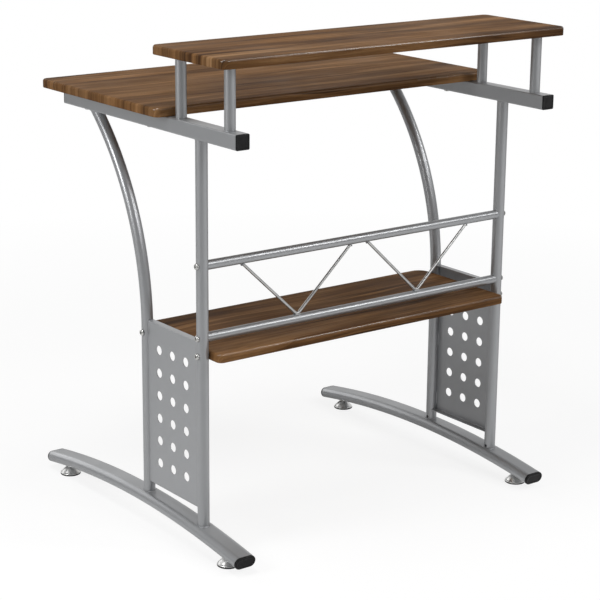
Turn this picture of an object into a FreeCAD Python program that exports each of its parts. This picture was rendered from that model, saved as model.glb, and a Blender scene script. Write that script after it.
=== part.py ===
"""Computer desk: two welded tube side frames, three laminate boards and four screw-in levellers.

Millimetres, +Z up. The person sits at -Y and looks along +Y, so +X is that person's right.
The origin is on the floor, midway between the two feet and midway along them.
"""
import FreeCAD, Part
import math
import os

Vector = FreeCAD.Vector

# Boards
board_thickness = 15.0
board_side_overhang = 35.0
board_corner_radius = 12.0
board_top_edge_radius = 3.5
board_bottom_edge_radius = 1.2
work_height = 735.0
desktop_depth = 370.0
desktop_rear_y = 107.5
monitor_shelf_depth = 205.0
lower_shelf_top_z = 347.5
lower_shelf_front_overhang = 30.0
lower_shelf_rear_overhang = 34.0
lower_shelf_front_corner_radius = 24.0
lower_shelf_rear_corner_radius = 10.0

# Side frames
frame_spacing = 640.0
rail_size = 25.0
rail_wall = 1.5
rail_corner_radius = 2.5
rail_front_setback = 40.5
rail_rear_y = 297.5
post_diameter = 20.0
post_wall = 1.5
rear_post_y = 184.0
front_leg_y = 18.0
front_leg_top_setback = 89.5
front_leg_bend_above_shelf = 0.5
shelf_post_diameter = 18.0
shelf_post_wall = 1.5
shelf_post_length = 100.0
shelf_post_inset = 35.0
drain_hole_diameter = 4.0
drain_hole_height = 4.0

# Feet
foot_length = 610.0
foot_width = 40.0
foot_height = 20.0
foot_wall = 1.5
foot_arch_radius = 1885.0

# Perforated side panels
panel_sheet = 1.2
panel_face_offset = 5.0
panel_flange_depth = 12.0
panel_bend_radius = 2.4
panel_above_shelf = 15.0
panel_above_foot = 19.0
panel_hole_diameter = 16.0
panel_hole_pitch = 40.0
panel_hole_side_margin = 30.0
panel_hole_end_margin = 40.0

# Stretchers and truss rods between the rear posts
stretcher_diameter = 16.0
stretcher_wall = 1.2
stretcher_above_shelf = 14.5
stretcher_spacing = 120.0
truss_rod_diameter = 5.0
truss_bend_radius = 7.0
truss_end_inset = 70.0
truss_middle_gap = 20.0
truss_weld_sink = 0.3

# Plastic end caps
cap_flange = 2.5
cap_plug_length = 14.0
cap_plug_wall = 2.0
cap_edge_radius = 1.0

# Bolts, threaded inserts and plugs
bolt_diameter = 6.0
bolt_hole_clearance = 0.3
bolt_head_diameter = 11.0
bolt_head_height = 3.5
bolt_socket_flats = 4.0
bolt_socket_depth = 2.0
bolt_engagement = 10.0
thread_clearance = 0.1
insert_diameter = 10.0
insert_length = 11.5
insert_clearance = 0.05
stretcher_plug_length = 22.0
stretcher_plug_setback = 0.5
stretcher_bolt_reach = 20.0
desktop_bolt_before_leg = 30.5
desktop_bolt_rear_inset = 72.5
rail_access_diameter = 13.0

# Levellers, from the floor up
leveller_inset = 50.0
pad_diameter = 38.0
pad_thickness = 3.0
pad_edge_radius = 1.0
cup_base_diameter = 36.0
cup_top_diameter = 14.0
cup_height = 11.0
cup_wall = 1.2
stud_diameter = 8.0
stud_foot_diameter = 11.0
stud_foot_height = 2.0
stud_collar_flats = 13.0
stud_collar_height = 2.0
stud_above_bush = 1.5
swivel_clearance = 0.3
bush_diameter = 14.0
bush_length = 14.0
bush_projection = 0.5

# Places across and along the desk that follow from the sizes above
sides = {"right": 1, "left": -1}
frame_x = frame_spacing / 2
board_width = frame_spacing + 2 * board_side_overhang
post_radius = post_diameter / 2
desktop_front_y = desktop_rear_y - desktop_depth
rail_front_y = desktop_front_y + rail_front_setback
front_leg_top_y = rail_front_y + front_leg_top_setback
monitor_shelf_front_y = rail_rear_y - monitor_shelf_depth
shelf_post_ys = {
    "front": monitor_shelf_front_y + shelf_post_inset,
    "rear": rail_rear_y - shelf_post_inset,
}
desktop_bolt_ys = (
    front_leg_top_y - desktop_bolt_before_leg,
    desktop_rear_y - desktop_bolt_rear_inset,
)
lower_shelf_width = frame_spacing - post_diameter
lower_shelf_front_y = front_leg_y - lower_shelf_front_overhang
lower_shelf_rear_y = rear_post_y + lower_shelf_rear_overhang
leveller_ys = {
    "front": leveller_inset - foot_length / 2,
    "rear": foot_length / 2 - leveller_inset,
}

# Heights that follow from the sizes above, from the floor up
cup_top_z = pad_thickness + cup_height
collar_bottom_z = cup_top_z + swivel_clearance
collar_top_z = collar_bottom_z + stud_collar_height
bush_bottom_z = collar_top_z + swivel_clearance
bush_top_z = bush_bottom_z + bush_length
bush_outer_y = leveller_ys["rear"] + bush_diameter / 2
foot_under_radius = foot_arch_radius - foot_height / 2
arch_drop_at_bush = foot_arch_radius - math.sqrt(foot_under_radius**2 - bush_outer_y**2)
foot_crown_z = bush_bottom_z + bush_projection + arch_drop_at_bush
arch_centre = Vector(0, 0, foot_crown_z - foot_arch_radius)
lower_shelf_bottom_z = lower_shelf_top_z - board_thickness
lower_shelf_bolt_z = lower_shelf_top_z - board_thickness / 2
front_leg_bend_z = lower_shelf_top_z + front_leg_bend_above_shelf
panel_top_z = lower_shelf_top_z + panel_above_shelf
panel_bottom_z = foot_crown_z + foot_height / 2 + panel_above_foot
lower_stretcher_z = lower_shelf_top_z + stretcher_above_shelf + stretcher_diameter / 2
upper_stretcher_z = lower_stretcher_z + stretcher_spacing
rail_top_z = work_height - board_thickness
rail_bottom_z = rail_top_z - rail_size
monitor_shelf_bottom_z = rail_top_z + shelf_post_length

along_x = Vector(1, 0, 0)
along_y = Vector(0, 1, 0)
along_z = Vector(0, 0, 1)


def export(name, *solids):
    """Write one piece, or one group of identical fasteners, under its name."""
    shape = solids[0] if len(solids) == 1 else Part.makeCompound(list(solids))
    shape.exportStep("parts/" + name + ".step")


def bar_between(diameter, start, end):
    """A round bar from one point to another."""
    along = end - start
    return Part.makeCylinder(diameter / 2, along.Length, start, along)


def tube_between(diameter, wall, start, end):
    """A round tube from one point to another."""
    return bar_between(diameter, start, end).cut(bar_between(diameter - 2 * wall, start, end))


def box(low, high):
    """A box between two corners."""
    size = high - low
    return Part.makeBox(size.x, size.y, size.z, low)


def edges_along(solid, direction):
    """Straight edges that run along a direction."""
    found = []
    for edge in solid.Edges:
        span = edge.Vertexes[-1].Point - edge.Vertexes[0].Point
        if span.Length > 0 and span.cross(direction).Length < 1e-6:
            found.append(edge)
    return found


def edges_at_height(solid, z):
    """Edges that lie wholly in the level plane at z."""
    return [edge for edge in solid.Edges if all(abs(v.Z - z) < 1e-6 for v in edge.Vertexes)]


def rounded_bar(low, high, direction, radius):
    """A box whose edges along a direction are rounded."""
    bar = box(low, high)
    return bar.makeFillet(radius, edges_along(bar, direction))


def hexagon(across_flats, height):
    """A hexagonal prism that stands on the origin."""
    corner_radius = across_flats / math.sqrt(3)
    corners = []
    for step in range(7):
        angle = math.radians(60 * step)
        corners.append(Vector(corner_radius * math.cos(angle), corner_radius * math.sin(angle), 0))
    return Part.Face(Part.makePolygon(corners)).extrude(along_z * height)


# Boards

def board(width, front_y, rear_y, bottom_z, front_radius, rear_radius):
    """A laminate board with rounded corners, a soft upper edge and a slightly eased lower edge."""
    top_z = bottom_z + board_thickness
    solid = box(Vector(-width / 2, front_y, bottom_z), Vector(width / 2, rear_y, top_z))
    for y, radius in ((front_y, front_radius), (rear_y, rear_radius)):
        corners = [edge for edge in edges_along(solid, along_z) if abs(edge.CenterOfMass.y - y) < 1e-6]
        solid = solid.makeFillet(radius, corners)
    solid = solid.makeFillet(board_top_edge_radius, edges_at_height(solid, top_z))
    return solid.makeFillet(board_bottom_edge_radius, edges_at_height(solid, bottom_z))


def insert_hole(seat, inward):
    """The blind hole that takes a threaded insert."""
    depth = insert_length + insert_clearance
    return Part.makeCylinder(insert_diameter / 2 + insert_clearance, depth, seat, inward)


def threaded_insert(seat, inward):
    """A threaded insert, flush with the face that it is set into."""
    body = Part.makeCylinder(insert_diameter / 2, insert_length, seat, inward)
    bore_radius = bolt_diameter / 2 + thread_clearance
    return body.cut(Part.makeCylinder(bore_radius, insert_length, seat, inward))


def rail_points(ys, z):
    """Points on both rails' middle lines, at the given places along them and a height."""
    return [Vector(side * frame_x, y, z) for side in sides.values() for y in ys]


def lower_shelf_points(outward):
    """Points on the four shelf bolts' axes, at a distance outwards from the shelf's ends."""
    points = []
    for side in sides.values():
        x = side * (lower_shelf_width / 2 + outward)
        points.append((side, Vector(x, front_leg_y, lower_shelf_bolt_z)))
        points.append((side, Vector(x, rear_post_y, lower_shelf_bolt_z)))
    return points


def build_board(name, solid, insert_seats):
    """A board, drilled for its threaded inserts, and the inserts."""
    for seat, inward in insert_seats:
        solid = solid.cut(insert_hole(seat, inward))
    export(name, solid)
    export(name + "_inserts", *[threaded_insert(seat, inward) for seat, inward in insert_seats])


def build_boards():
    """Desktop, monitor shelf and lower shelf."""
    desktop = board(
        board_width, desktop_front_y, desktop_rear_y, rail_top_z, board_corner_radius, board_corner_radius
    )
    build_board("desktop", desktop, [(seat, along_z) for seat in rail_points(desktop_bolt_ys, rail_top_z)])
    monitor_shelf = board(
        board_width,
        monitor_shelf_front_y,
        rail_rear_y,
        monitor_shelf_bottom_z,
        board_corner_radius,
        board_corner_radius,
    )
    post_tops = rail_points(shelf_post_ys.values(), monitor_shelf_bottom_z)
    build_board("monitor_shelf", monitor_shelf, [(seat, along_z) for seat in post_tops])
    front_radius = min(lower_shelf_front_corner_radius, lower_shelf_front_overhang - insert_diameter / 2)
    rear_radius = min(lower_shelf_rear_corner_radius, lower_shelf_rear_overhang - insert_diameter / 2)
    lower_shelf = board(
        lower_shelf_width,
        lower_shelf_front_y,
        lower_shelf_rear_y,
        lower_shelf_bottom_z,
        front_radius,
        rear_radius,
    )
    build_board("lower_shelf", lower_shelf, [(seat, along_x * -side) for side, seat in lower_shelf_points(0)])


# Feet

def arch_angle(length):
    """The angle in degrees that a length along the foot takes up on its arch."""
    return math.degrees(length / foot_arch_radius)


foot_tube_end = math.degrees(math.asin((foot_length / 2 - cap_flange) / foot_arch_radius))
foot_cap_end = foot_tube_end + arch_angle(cap_flange)
foot_plug_end = foot_tube_end - arch_angle(cap_plug_length)


def obround_bar(width, height, side, start_angle, end_angle):
    """A flat-oval bar bent to the foot's arch, between two angles measured from its crown."""
    x = side * frame_x
    flat = (width - height) / 2
    half = height / 2
    top_right = Vector(x + flat, 0, foot_crown_z + half)
    top_left = Vector(x - flat, 0, foot_crown_z + half)
    bottom_left = Vector(x - flat, 0, foot_crown_z - half)
    bottom_right = Vector(x + flat, 0, foot_crown_z - half)
    wire = Part.Wire([
        Part.LineSegment(top_right, top_left).toShape(),
        Part.Arc(top_left, Vector(x - width / 2, 0, foot_crown_z), bottom_left).toShape(),
        Part.LineSegment(bottom_left, bottom_right).toShape(),
        Part.Arc(bottom_right, Vector(x + width / 2, 0, foot_crown_z), top_right).toShape(),
    ])
    section = Part.Face(wire)
    section.rotate(arch_centre, along_x, -start_angle)
    return section.revolve(arch_centre, along_x, start_angle - end_angle)


def foot_form(side):
    """The foot's outer form without its bore, which the posts' lower ends are cut to."""
    return obround_bar(foot_width, foot_height, side, -foot_tube_end, foot_tube_end)


def foot_middle_at(y):
    """Height of the foot's centre line at a place along it."""
    return arch_centre.z + math.sqrt(foot_arch_radius**2 - y**2)


def build_foot(name, side):
    """An arched flat-oval tube with holes for the leveller bushes, and its two end caps."""
    bore_width = foot_width - 2 * foot_wall
    bore_height = foot_height - 2 * foot_wall
    tube = foot_form(side).cut(obround_bar(bore_width, bore_height, side, -foot_cap_end, foot_cap_end))
    for y in leveller_ys.values():
        hole_radius = bush_diameter / 2 + insert_clearance
        tube = tube.cut(Part.makeCylinder(hole_radius, bush_length, Vector(side * frame_x, y, bush_bottom_z)))
    export(name + "_foot", tube)

    plug_width = bore_width - 2 * insert_clearance
    plug_height = bore_height - 2 * insert_clearance
    hollow_width = plug_width - 2 * cap_plug_wall
    hollow_height = plug_height - 2 * cap_plug_wall
    for end, sign in (("front", -1), ("rear", 1)):
        flange = obround_bar(foot_width, foot_height, side, sign * foot_tube_end, sign * foot_cap_end)
        end_face = max(flange.Faces, key=lambda face: sign * face.CenterOfMass.y)
        flange = flange.makeFillet(cap_edge_radius, end_face.OuterWire.Edges)
        plug = obround_bar(plug_width, plug_height, side, sign * foot_plug_end, sign * foot_tube_end)
        hollow = obround_bar(hollow_width, hollow_height, side, sign * foot_plug_end, sign * foot_tube_end)
        export(name + "_foot_" + end + "_cap", flange.fuse(plug.cut(hollow)).removeSplitter())


# Side frames

def bar_across(side, y, z, diameter, start_x, end_x):
    """A round bar along X at one side, between two distances from the desk's middle."""
    return bar_between(diameter, Vector(side * start_x, y, z), Vector(side * end_x, y, z))


def bolt_hole(side, y, z):
    """The bolt hole through both walls of a post."""
    diameter = bolt_diameter + 2 * bolt_hole_clearance
    return bar_across(side, y, z, diameter, frame_x - post_diameter, frame_x + post_diameter)


def drain_hole(side, y):
    """The small hole in a post's inner wall, just over the foot."""
    z = foot_middle_at(y) + foot_height / 2 + drain_hole_height
    return bar_across(side, y, z, drain_hole_diameter, frame_x - post_diameter, frame_x)


def front_leg_form(diameter, side):
    """The front leg's round form: straight at the bottom, then bent forward into the rail."""
    x = side * frame_x
    reach = front_leg_y - front_leg_top_y
    rise = rail_bottom_z - front_leg_bend_z
    bend_radius = (reach**2 + rise**2) / (2 * reach)
    bend_angle = math.atan2(rise, bend_radius - reach) + rail_size / bend_radius
    bend_start = Vector(x, front_leg_y, front_leg_bend_z)
    bend_centre = Vector(x, front_leg_y - bend_radius, front_leg_bend_z)
    section = Part.Face(Part.Wire(Part.makeCircle(diameter / 2, bend_start, along_z)))
    bend = section.revolve(bend_centre, along_x, math.degrees(bend_angle))
    straight = bar_between(diameter, Vector(x, front_leg_y, foot_middle_at(front_leg_y)), bend_start)
    return straight.fuse(bend).removeSplitter()


def build_front_leg(name, side, foot):
    """The curved front leg, cut flat under the rail and to the foot's shape below."""
    leg = front_leg_form(post_diameter, side).cut(front_leg_form(post_diameter - 2 * post_wall, side))
    above_low = Vector(side * frame_x - post_diameter, desktop_front_y, rail_bottom_z)
    above_high = Vector(side * frame_x + post_diameter, front_leg_y, work_height)
    leg = leg.cut(box(above_low, above_high)).cut(foot)
    leg = leg.cut(bolt_hole(side, front_leg_y, lower_shelf_bolt_z))
    export(name + "_front_leg", leg.cut(drain_hole(side, front_leg_y)))


def build_rear_post(name, side, foot):
    """The straight rear post, drilled for the two stretchers and the lower shelf."""
    bottom = Vector(side * frame_x, rear_post_y, foot_middle_at(rear_post_y))
    top = Vector(side * frame_x, rear_post_y, rail_bottom_z)
    post = tube_between(post_diameter, post_wall, bottom, top).cut(foot)
    for z in (upper_stretcher_z, lower_stretcher_z, lower_shelf_bolt_z):
        post = post.cut(bolt_hole(side, rear_post_y, z))
    export(name + "_rear_post", post.cut(drain_hole(side, rear_post_y)))


def rail_bar(side, start_y, end_y, inset):
    """A square bar along a rail, set in from the rail's outside by an inset, with rounded edges."""
    half = rail_size / 2 - inset
    low = Vector(side * frame_x - half, min(start_y, end_y), rail_bottom_z + inset)
    high = Vector(side * frame_x + half, max(start_y, end_y), rail_top_z - inset)
    radius = max(rail_corner_radius - inset, rail_corner_radius - rail_wall)
    return rounded_bar(low, high, along_y, radius)


def build_rail(name, side):
    """The square top rail and its end caps."""
    tube_front_y = rail_front_y + cap_flange
    tube_rear_y = rail_rear_y - cap_flange
    rail = rail_bar(side, tube_front_y, tube_rear_y, 0).cut(
        rail_bar(side, tube_front_y, tube_rear_y, rail_wall)
    )
    hole_radius = bolt_diameter / 2 + bolt_hole_clearance
    for y in list(desktop_bolt_ys) + list(shelf_post_ys.values()):
        rail = rail.cut(Part.makeCylinder(hole_radius, rail_size, Vector(side * frame_x, y, rail_bottom_z)))
    for y in shelf_post_ys.values():
        access = Part.makeCylinder(rail_access_diameter / 2, rail_size / 2, Vector(side * frame_x, y, rail_bottom_z))
        rail = rail.cut(access)
    export(name + "_top_rail", rail)

    plug_inset = rail_wall + insert_clearance
    for end, tube_end_y, sign in (("front", tube_front_y, -1), ("rear", tube_rear_y, 1)):
        flange = rail_bar(side, tube_end_y, tube_end_y + sign * cap_flange, 0)
        plug_end_y = tube_end_y - sign * cap_plug_length
        plug = rail_bar(side, tube_end_y, plug_end_y, plug_inset)
        hollow = rail_bar(side, tube_end_y, plug_end_y, plug_inset + cap_plug_wall)
        export(name + "_rail_" + end + "_cap", flange.fuse(plug.cut(hollow)).removeSplitter())


def build_shelf_posts(name, side):
    """The two short posts that stand on a rail and carry the monitor shelf."""
    for place, y in shelf_post_ys.items():
        bottom = Vector(side * frame_x, y, rail_top_z)
        top = Vector(side * frame_x, y, monitor_shelf_bottom_z)
        post = tube_between(shelf_post_diameter, shelf_post_wall, bottom, top)
        export(name + "_" + place + "_shelf_post", post)


def folded_block(side, face_x, back_x, bottom_z, top_z, fold_radius):
    """A block from leg to post whose two long edges on its outer face are rounded."""
    low = Vector(min(side * face_x, side * back_x), front_leg_y, bottom_z)
    high = Vector(max(side * face_x, side * back_x), rear_post_y, top_z)
    block = box(low, high)
    folds = [e for e in edges_along(block, along_y) if abs(e.CenterOfMass.x - side * face_x) < 1e-6]
    return block.makeFillet(fold_radius, folds)


def centred_places(middle, span, margin, pitch):
    """Evenly pitched places about a middle, as many as fit between two margins."""
    gaps = int((span - 2 * margin) / pitch)
    return [middle + (place - gaps / 2) * pitch for place in range(gaps + 1)]


def build_side_panel(name, side):
    """A perforated sheet panel with folded top and bottom flanges, fitted between leg and post."""
    face_x = frame_x + panel_face_offset
    back_x = face_x - panel_flange_depth
    panel = folded_block(side, face_x, back_x, panel_bottom_z, panel_top_z, panel_bend_radius)
    pocket = folded_block(
        side,
        face_x - panel_sheet,
        back_x - panel_sheet,
        panel_bottom_z + panel_sheet,
        panel_top_z - panel_sheet,
        panel_bend_radius - panel_sheet,
    )
    post_low = Vector(side * frame_x, rear_post_y, foot_middle_at(rear_post_y))
    post = bar_between(post_diameter, post_low, Vector(side * frame_x, rear_post_y, rail_bottom_z))
    panel = panel.cut(pocket).cut(post).cut(front_leg_form(post_diameter, side))
    middle_y = (front_leg_y + rear_post_y) / 2
    middle_z = (panel_top_z + panel_bottom_z) / 2
    clear_width = rear_post_y - front_leg_y - post_diameter
    height = panel_top_z - panel_bottom_z
    for y in centred_places(middle_y, clear_width, panel_hole_side_margin, panel_hole_pitch):
        for z in centred_places(middle_z, height, panel_hole_end_margin, panel_hole_pitch):
            hole = bar_across(side, y, z, panel_hole_diameter, frame_x, frame_x + post_diameter)
            panel = panel.cut(hole)
    export(name + "_side_panel", panel)


# Rear stretchers and truss

def stretcher_form(diameter, z):
    """A round bar across the desk, from one rear post's axis to the other's."""
    return bar_between(diameter, Vector(-frame_x, rear_post_y, z), Vector(frame_x, rear_post_y, z))


def build_stretcher(name, z):
    """A round stretcher tube whose ends are cut to the rear posts' round faces."""
    tube = stretcher_form(stretcher_diameter, z).cut(stretcher_form(stretcher_diameter - 2 * stretcher_wall, z))
    for side in sides.values():
        low = Vector(side * frame_x, rear_post_y, z - stretcher_diameter)
        high = Vector(side * frame_x, rear_post_y, z + stretcher_diameter)
        tube = tube.cut(bar_between(post_diameter, low, high))
    export(name, tube)


def stretcher_plug(side, z):
    """The threaded plug inside a stretcher's end."""
    outer_x = frame_x - post_radius - stretcher_plug_setback
    inner_x = outer_x - stretcher_plug_length
    diameter = stretcher_diameter - 2 * (stretcher_wall + insert_clearance)
    body = bar_across(side, rear_post_y, z, diameter, inner_x, outer_x)
    return body.cut(bar_across(side, rear_post_y, z, bolt_diameter + 2 * thread_clearance, inner_x, outer_x))


def build_truss_rod(name, side):
    """A round rod bent to a V, welded under the upper stretcher and on the lower one."""
    outer_x = frame_x - truss_end_inset
    inner_x = truss_middle_gap / 2
    centre_x = side * (outer_x + inner_x) / 2
    half_span = (outer_x - inner_x) / 2
    rod_radius = truss_rod_diameter / 2
    bottom_z = lower_stretcher_z + stretcher_diameter / 2 + rod_radius - truss_weld_sink
    bend_z = bottom_z + truss_bend_radius
    rise = upper_stretcher_z - bend_z
    touch = math.atan2(rise, half_span) - math.acos(truss_bend_radius / math.hypot(half_span, rise))
    touch_x = truss_bend_radius * math.cos(touch)
    touch_z = bend_z + truss_bend_radius * math.sin(touch)
    start = Vector(centre_x - half_span, rear_post_y, upper_stretcher_z)
    bend_start = Vector(centre_x - touch_x, rear_post_y, touch_z)
    bend_bottom = Vector(centre_x, rear_post_y, bottom_z)
    bend_end = Vector(centre_x + touch_x, rear_post_y, touch_z)
    end = Vector(centre_x + half_span, rear_post_y, upper_stretcher_z)
    path = Part.Wire([
        Part.LineSegment(start, bend_start).toShape(),
        Part.Arc(bend_start, bend_bottom, bend_end).toShape(),
        Part.LineSegment(bend_end, end).toShape(),
    ])
    section = Part.Wire(Part.makeCircle(rod_radius, start, bend_start - start))
    rod = path.makePipeShell([section], True, False)
    for z in (upper_stretcher_z, lower_stretcher_z):
        rod = rod.cut(stretcher_form(stretcher_diameter, z))
    export(name + "_truss_rod", rod)


# Bolts

def button_bolt(seat, inward, shank_length):
    """A button-head bolt with a hexagon socket; the seat is the point under its head."""
    radius = bolt_head_diameter / 2
    sphere_radius = (radius**2 + bolt_head_height**2) / (2 * bolt_head_height)
    half_angle = math.asin(radius / sphere_radius) / 2
    dome_z = sphere_radius * (1 - math.cos(half_angle)) - bolt_head_height
    crown = Vector(0, 0, -bolt_head_height)
    dome = Vector(sphere_radius * math.sin(half_angle), 0, dome_z)
    rim = Vector(radius, 0, 0)
    shank_edge = Vector(bolt_diameter / 2, 0, 0)
    shank_tip = Vector(bolt_diameter / 2, 0, shank_length)
    tip = Vector(0, 0, shank_length)
    outline = Part.Wire([
        Part.Arc(crown, dome, rim).toShape(),
        Part.LineSegment(rim, shank_edge).toShape(),
        Part.LineSegment(shank_edge, shank_tip).toShape(),
        Part.LineSegment(shank_tip, tip).toShape(),
        Part.LineSegment(tip, crown).toShape(),
    ])
    bolt = Part.Face(outline).revolve(Vector(0, 0, 0), along_z, 360)
    socket = hexagon(bolt_socket_flats, bolt_socket_depth + bolt_head_height)
    socket.translate(crown - along_z * bolt_head_height)
    bolt = bolt.cut(socket)
    bolt.Placement = FreeCAD.Placement(seat, FreeCAD.Rotation(along_z, inward))
    return bolt


def build_fasteners():
    """All bolts, each kind in one group, and the stretchers' threaded plugs."""
    desktop_seats = rail_points(desktop_bolt_ys, rail_bottom_z)
    desktop_shank = rail_size + bolt_engagement
    export("desktop_bolts", *[button_bolt(seat, along_z, desktop_shank) for seat in desktop_seats])
    shelf_seats = rail_points(shelf_post_ys.values(), rail_top_z - rail_wall)
    shelf_shank = rail_wall + shelf_post_length + bolt_engagement
    export("shelf_post_bolts", *[button_bolt(seat, along_z, shelf_shank) for seat in shelf_seats])
    lower_bolts = []
    for side, seat in lower_shelf_points(post_diameter):
        lower_bolts.append(button_bolt(seat, along_x * -side, post_diameter + bolt_engagement))
    export("lower_shelf_bolts", *lower_bolts)
    stretcher_bolts = []
    stretcher_plugs = []
    for side in sides.values():
        for z in (upper_stretcher_z, lower_stretcher_z):
            seat = Vector(side * (frame_x + post_radius), rear_post_y, z)
            stretcher_bolts.append(button_bolt(seat, along_x * -side, post_diameter + stretcher_bolt_reach))
            stretcher_plugs.append(stretcher_plug(side, z))
    export("stretcher_bolts", *stretcher_bolts)
    export("stretcher_plugs", *stretcher_plugs)


# Levellers

def leveller_bush(side, y):
    """The threaded bush welded into the foot's underside."""
    bottom = Vector(side * frame_x, y, bush_bottom_z)
    bore_radius = stud_diameter / 2 + thread_clearance
    body = Part.makeCylinder(bush_diameter / 2, bush_length, bottom)
    return body.cut(Part.makeCylinder(bore_radius, bush_length, bottom))


def build_leveller(name, side, y):
    """A plastic pad, a chromed cup over it and the threaded stud that swivels in the cup."""
    on_floor = Vector(side * frame_x, y, 0)
    pad = Part.makeCylinder(pad_diameter / 2, pad_thickness, on_floor)
    pad = pad.makeFillet(pad_edge_radius, edges_at_height(pad, pad_thickness))
    export(name + "_leveller_pad", pad)

    on_pad = on_floor + along_z * pad_thickness
    cup = Part.makeCone(cup_base_diameter / 2, cup_top_diameter / 2, cup_height, on_pad)
    hollow_base = cup_base_diameter / 2 - cup_wall
    hollow_top = cup_top_diameter / 2 - cup_wall
    cup = cup.cut(Part.makeCone(hollow_base, hollow_top, cup_height - cup_wall, on_pad))
    neck_radius = stud_diameter / 2 + swivel_clearance
    export(name + "_leveller_cup", cup.cut(Part.makeCylinder(neck_radius, cup_height, on_pad)))

    stud_bottom = on_pad + along_z * swivel_clearance
    stud_length = bush_top_z + stud_above_bush - stud_bottom.z
    stud = Part.makeCylinder(stud_diameter / 2, stud_length, stud_bottom)
    stud_foot = Part.makeCylinder(stud_foot_diameter / 2, stud_foot_height, stud_bottom)
    collar = hexagon(stud_collar_flats, stud_collar_height)
    collar.translate(on_floor + along_z * collar_bottom_z)
    export(name + "_leveller_stud", stud.fuse([stud_foot, collar]).removeSplitter())


def build_desk():
    """Every piece of the desk."""
    os.makedirs("parts", exist_ok=True)
    build_boards()
    bushes = []
    for name, side in sides.items():
        foot = foot_form(side)
        build_foot(name, side)
        build_front_leg(name, side, foot)
        build_rear_post(name, side, foot)
        build_rail(name, side)
        build_shelf_posts(name, side)
        build_side_panel(name, side)
        build_truss_rod(name, side)
        for place, y in leveller_ys.items():
            build_leveller(place + "_" + name, side, y)
            bushes.append(leveller_bush(side, y))
    export("leveller_bushes", *bushes)
    build_stretcher("upper_stretcher", upper_stretcher_z)
    build_stretcher("lower_stretcher", lower_stretcher_z)
    build_fasteners()


build_desk()
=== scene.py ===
"""Looks of the computer desk: laminate boards, coated tube frames, welds, bolts, caps and levellers.

Metres, in the desk's own frame: +Z up, the person sits at -Y, and +X is that person's right.
"""

import logging
import math
from collections.abc import Iterable, Sequence
from dataclasses import dataclass, field
from enum import Enum

import bmesh
import bpy
from mathutils import Matrix, Vector


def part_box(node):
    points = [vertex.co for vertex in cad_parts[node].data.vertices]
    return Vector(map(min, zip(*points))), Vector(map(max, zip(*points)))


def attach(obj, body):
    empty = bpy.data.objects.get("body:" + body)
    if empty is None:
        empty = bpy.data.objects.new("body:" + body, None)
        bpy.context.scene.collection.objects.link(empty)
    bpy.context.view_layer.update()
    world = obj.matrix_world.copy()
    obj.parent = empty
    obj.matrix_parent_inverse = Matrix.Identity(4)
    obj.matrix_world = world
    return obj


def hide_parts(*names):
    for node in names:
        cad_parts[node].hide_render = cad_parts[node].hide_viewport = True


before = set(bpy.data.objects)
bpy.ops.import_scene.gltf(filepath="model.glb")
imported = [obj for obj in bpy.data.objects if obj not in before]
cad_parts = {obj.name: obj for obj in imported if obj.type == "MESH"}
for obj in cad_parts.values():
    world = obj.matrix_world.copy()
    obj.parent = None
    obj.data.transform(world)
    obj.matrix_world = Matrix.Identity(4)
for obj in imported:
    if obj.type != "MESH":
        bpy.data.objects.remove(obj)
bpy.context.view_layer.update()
log = logging.getLogger("computer_desk")

Colour = tuple[float, float, float, float]
Direction = tuple[float, float, float]
Span = tuple[float, float, float, float]
Profile = list[tuple[float, float]]
Ring = list[Vector]
Path = tuple[Ring, bool]
Material = bpy.types.Material
Mesh = bpy.types.Mesh
Socket = bpy.types.NodeSocket

SIDES = {"right": 1, "left": -1}
ENDS = {"front": -1, "rear": 1}
DESK = "desk"
FLOAT, VECTOR, COLOUR = "NodeSocketFloat", "NodeSocketVector", "NodeSocketColor"
MIX_A, MIX_B, MIX_RESULT = 6, 7, 2
SHARP_ANGLE = math.radians(32)
WHITE = (1, 1, 1, 1)

# Sizes that more than one sub-assembly needs
POST_RADIUS = 0.010
LEG_TOP_Y = -0.1325
ARCH_RADIUS = 1.885
FOOT_HALF_LENGTH = 0.305
FOOT_CAP_FLANGE = 0.0045
TUBE_WALL = 0.0015


class Slot(Enum):
    """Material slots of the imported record."""

    WALNUT = "walnut_laminate"
    SILVER = "silver_coat"
    BLACK = "black_plastic"
    ZINC = "zinc_steel"
    CHROME = "chrome"


class Section(Enum):
    """Outlines that a turned piece can have at one height."""

    ROUND = "round"
    HEXAGON = "hexagon"


# Node trees

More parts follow.
